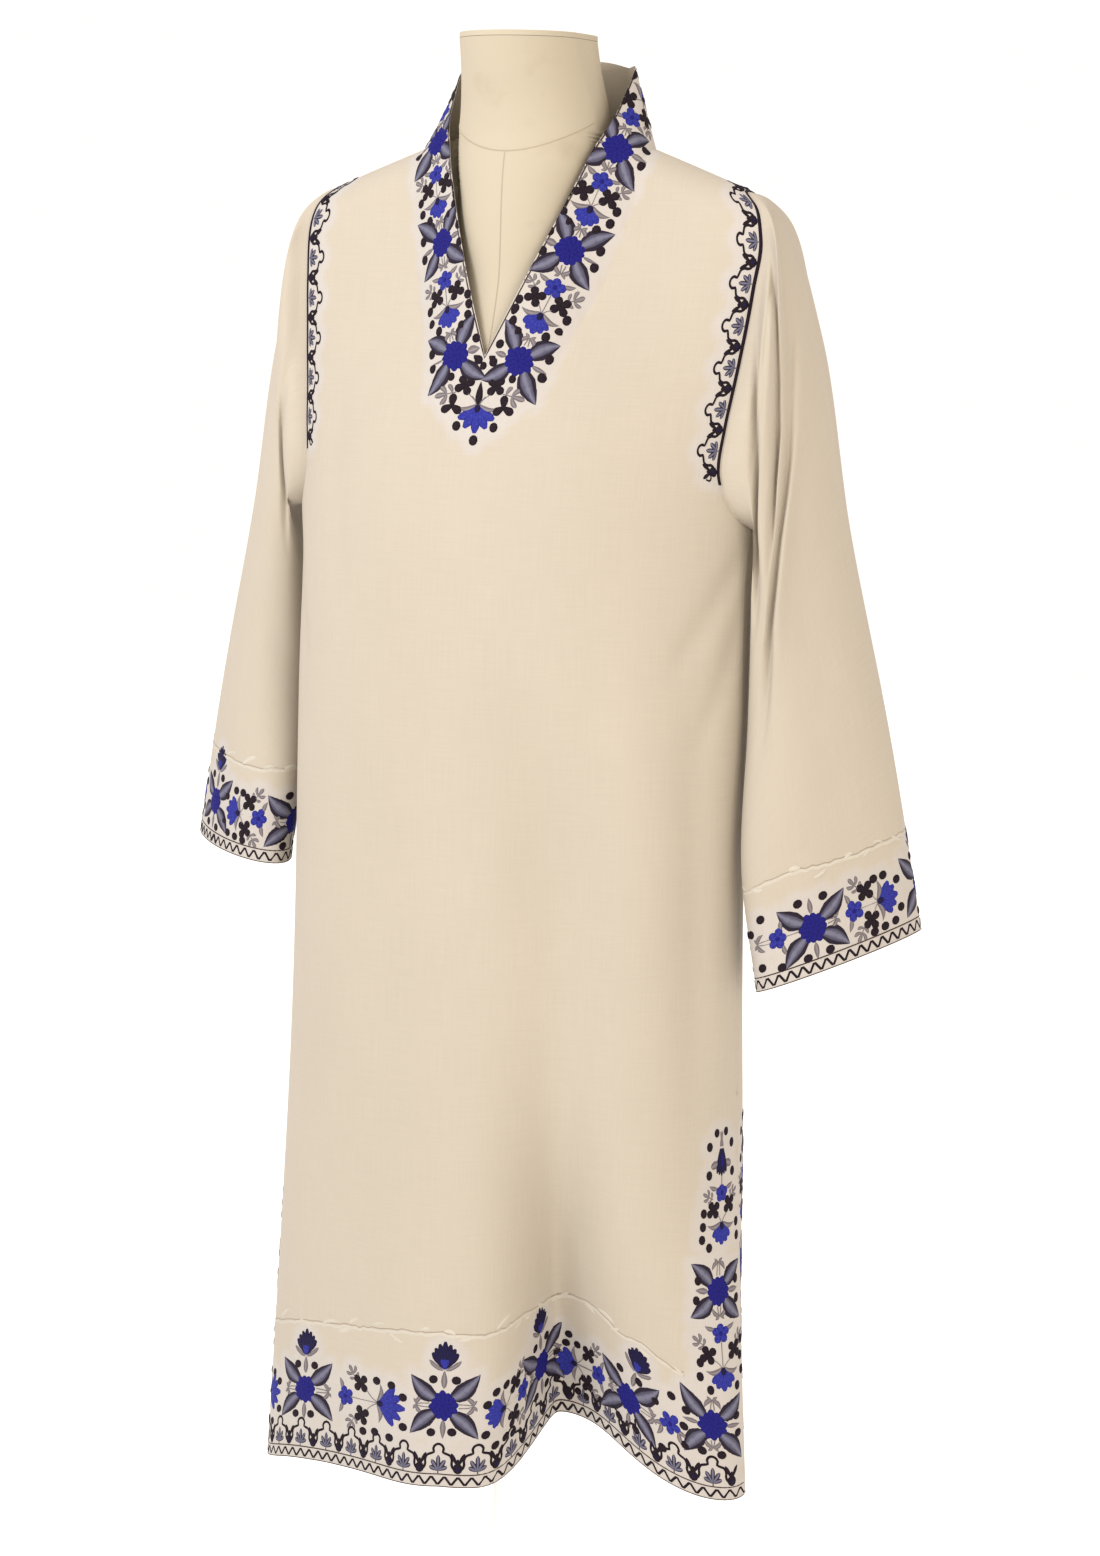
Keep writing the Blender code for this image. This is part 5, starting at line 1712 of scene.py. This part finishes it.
def calico():
    """Plain cotton of a dress form's cover."""
    nodes = Nodes("cotton_cover")
    place = nodes.add("ShaderNodeTexCoord").outputs["Object"]
    stains = nodes.noise(nodes.scaled(place, 26, 26, 34), 1, 4)
    colour = nodes.mix(nodes.ramp(stains, (0.58, 0), (0.78, 0.5)), FORM_COLOUR, FORM_STAIN)
    nodes.bump(nodes.noise(nodes.scaled(place, 700, 700, 700), 1), 0.3, 0.0002)
    return nodes.surface(colour, 0.85, 0.2)


def satin_paint():
    """Satin white paint of the stand."""
    nodes = Nodes("satin_white")
    place = nodes.add("ShaderNodeTexCoord").outputs["Object"]
    grain = nodes.noise(nodes.scaled(place, 220, 220, 220), 1)
    nodes.bump(grain, 0.08, 0.0003)
    return nodes.surface((0.86, 0.86, 0.85), nodes.ramp(grain, (0.3, 0.3), (0.7, 0.42)))


def form_seams(sewing):
    """The cover's seam round the neck and the one down the middle of the chest."""
    around = []
    turns = np.linspace(-FORM_SEAM_TURN, FORM_SEAM_TURN, FORM_SEAM_POINTS)
    for turn in np.radians(turns).tolist():
        way = Vector((math.sin(turn), -math.cos(turn), 0))
        start = Vector((0, 0, FORM_SEAM_HEIGHT - FORM_SEAM_DIP * math.cos(turn))) + way * 0.3
        around.append(form_tree.ray_cast(start, -way)[0])
    top = FORM_SEAM_HEIGHT - FORM_SEAM_DIP - MM
    starts = [(0, -0.4, top - FORM_STEP * i) for i in range(CHEST_SEAM_POINTS)]
    down = seen_from(form_tree, starts, (0, 1, 0))
    for points in (np.array(around), down):
        whole_line(sewing, points, on_cloth(form_tree, points)[1], "cream", 0.4)


form_material = calico()
stand_material = satin_paint()
drops = np.arange(NECK_TOP_DROP, FORM_BOTTOM_DROP + TINY, FORM_STEP)
form_rings = np.array([form_ring(drop) for drop in drops])
form_quads = grid_quads(np.concatenate([
    np.arange(form_rings.shape[0] * FORM_SIDES).reshape(-1, FORM_SIDES),
    np.arange(form_rings.shape[0]).reshape(-1, 1) * FORM_SIDES,
], axis=1))[:, ::-1]
form_tree = BVHTree.FromPolygons(form_rings.reshape(-1, 3).tolist(), form_quads.tolist())
seams = Sewing()
form_seams(seams)
seam_material = Nodes("seam_calico").surface((0.31, 0.255, 0.18), 0.9)
seams.build("form_seams", form_tree, [seam_material] * len(KINDS))
cap_ring = form_ring(NECK_TOP_DROP)
cap_middle = cap_ring.mean(axis=0)
# Rings of the cap down from its top, as size and height over the neck, with a rounded edge
cap_profile = ((0.97, CAP_HEIGHT), (0.994, CAP_HEIGHT - 0.0001), (1, CAP_HEIGHT - 0.0008), (1, 0))
cap_rings = np.array([
    cap_middle + (cap_ring - cap_middle) * size + (0, 0, TOUCH_GAP + rise)
    for size, rise in cap_profile
])
BASE_TOP = 0.018
base_profile = (
    (0.176, 0), (0.1795, 0.002), (0.18, 0.004), (0.18, 0.009), (0.1785, 0.0115), (0.175, 0.013),
    (0.15, 0.0145), (0.06, 0.0175), (0.04, BASE_TOP),
)
pole_low, pole_high = BASE_TOP + TOUCH_GAP, NECK_POINT_HEIGHT - FORM_BOTTOM_DROP - TOUCH_GAP
pole_profile = (
    (0.02, pole_low), (0.02, pole_low + 0.01), (0.018, pole_low + 0.014), (0.0135, pole_low + 0.018),
    (0.0125, pole_low + 0.022), (0.0125, pole_high - 0.06), (0.0125, pole_high - 0.044),
    (0.0175, pole_high - 0.042), (0.018, pole_high - 0.04), (0.018, pole_high - 0.014),
    (0.0175, pole_high - 0.012), (0.0125, pole_high - 0.01), (0.0125, pole_high),
)
for made, node in (
    (rings_object("dress_form_cover", form_rings, form_material), "dress_form"),
    (rings_object("neck_cap_cover", cap_rings, form_material), "neck_cap"),
    (turned("stand_base_turned", base_profile, stand_material, 128), "stand_base"),
    (turned("stand_pole_turned", pole_profile, stand_material, 64), "stand_pole"),
):
    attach(made, "root")
    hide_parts(node)

# Stage, light and camera
CAMERA_DISTANCE = 2.35
CAMERA_YAW = math.radians(22.5)
CAMERA_AIM = math.radians(22.83)
CAMERA_PITCH = math.radians(11)
CAMERA_ROLL = math.radians(1)
CAMERA_SHIFT_Y = 0.1
CAMERA_HEIGHT = NECK_POINT_HEIGHT - 0.058
CAMERA_LENS = 65.94


def make_camera():
    """The camera at the photograph's place."""
    ahead = Vector((-math.sin(CAMERA_AIM), math.cos(CAMERA_AIM), 0))
    right = Vector((math.cos(CAMERA_AIM), math.sin(CAMERA_AIM), 0))
    down = Vector((0, 0, -1))
    forward = ahead * math.cos(CAMERA_PITCH) + down * math.sin(CAMERA_PITCH)
    lower = down * math.cos(CAMERA_PITCH) - ahead * math.sin(CAMERA_PITCH)
    x_axis = right * math.cos(CAMERA_ROLL) - lower * math.sin(CAMERA_ROLL)
    y_axis = -(right * math.sin(CAMERA_ROLL) + lower * math.cos(CAMERA_ROLL))
    data = bpy.data.cameras.new("camera")
    data.lens = CAMERA_LENS
    data.sensor_width = 36
    camera = placed("camera", data)
    place = Vector((
        CAMERA_DISTANCE * math.sin(CAMERA_YAW),
        CAMERA_SHIFT_Y - CAMERA_DISTANCE * math.cos(CAMERA_YAW),
        CAMERA_HEIGHT,
    ))
    turn = Matrix((x_axis, y_axis, -forward)).transposed()
    camera.matrix_world = Matrix.Translation(place) @ turn.to_4x4()
    bpy.context.scene.camera = camera


def area_light(name, place, aim, size, power, colour):
    """A soft square light."""
    data = bpy.data.lights.new(name, "AREA")
    data.size = size
    data.energy = power
    data.color = colour
    made = placed(name, data)
    made.location = place
    made.rotation_mode = "QUATERNION"
    made.rotation_quaternion = (Vector(aim) - Vector(place)).to_track_quat("-Z", "Y")


world = bpy.data.worlds.new("studio")
bpy.context.scene.world = world
world.use_nodes = True
sky = world.node_tree.nodes["Background"]
sky.inputs["Color"].default_value = (1.12, 1.05, 1, 1)
sky.inputs["Strength"].default_value = 1
area_light("key", (-0.95, -1.7, 2.45), (0, 0, 1.2), 1, 46, (0.95, 0.98, 1.05))
area_light("fill", (1.9, -1.6, 1.6), (0, 0, 1.1), 1.4, 26, (1, 0.9, 0.78))

bpy.ops.mesh.primitive_plane_add(size=12, location=(0, 0, 0))
floor = bpy.context.object
floor.name = "floor"
pale = Nodes("pale_floor")
pale.shader.inputs["Emission Color"].default_value = (1, 1, 1, 1)
pale.shader.inputs["Emission Strength"].default_value = 0.25
floor.data.materials.append(pale.surface((0.95, 0.95, 0.95), 0.9))

make_camera()
bpy.context.scene.view_settings.view_transform = "Standard"
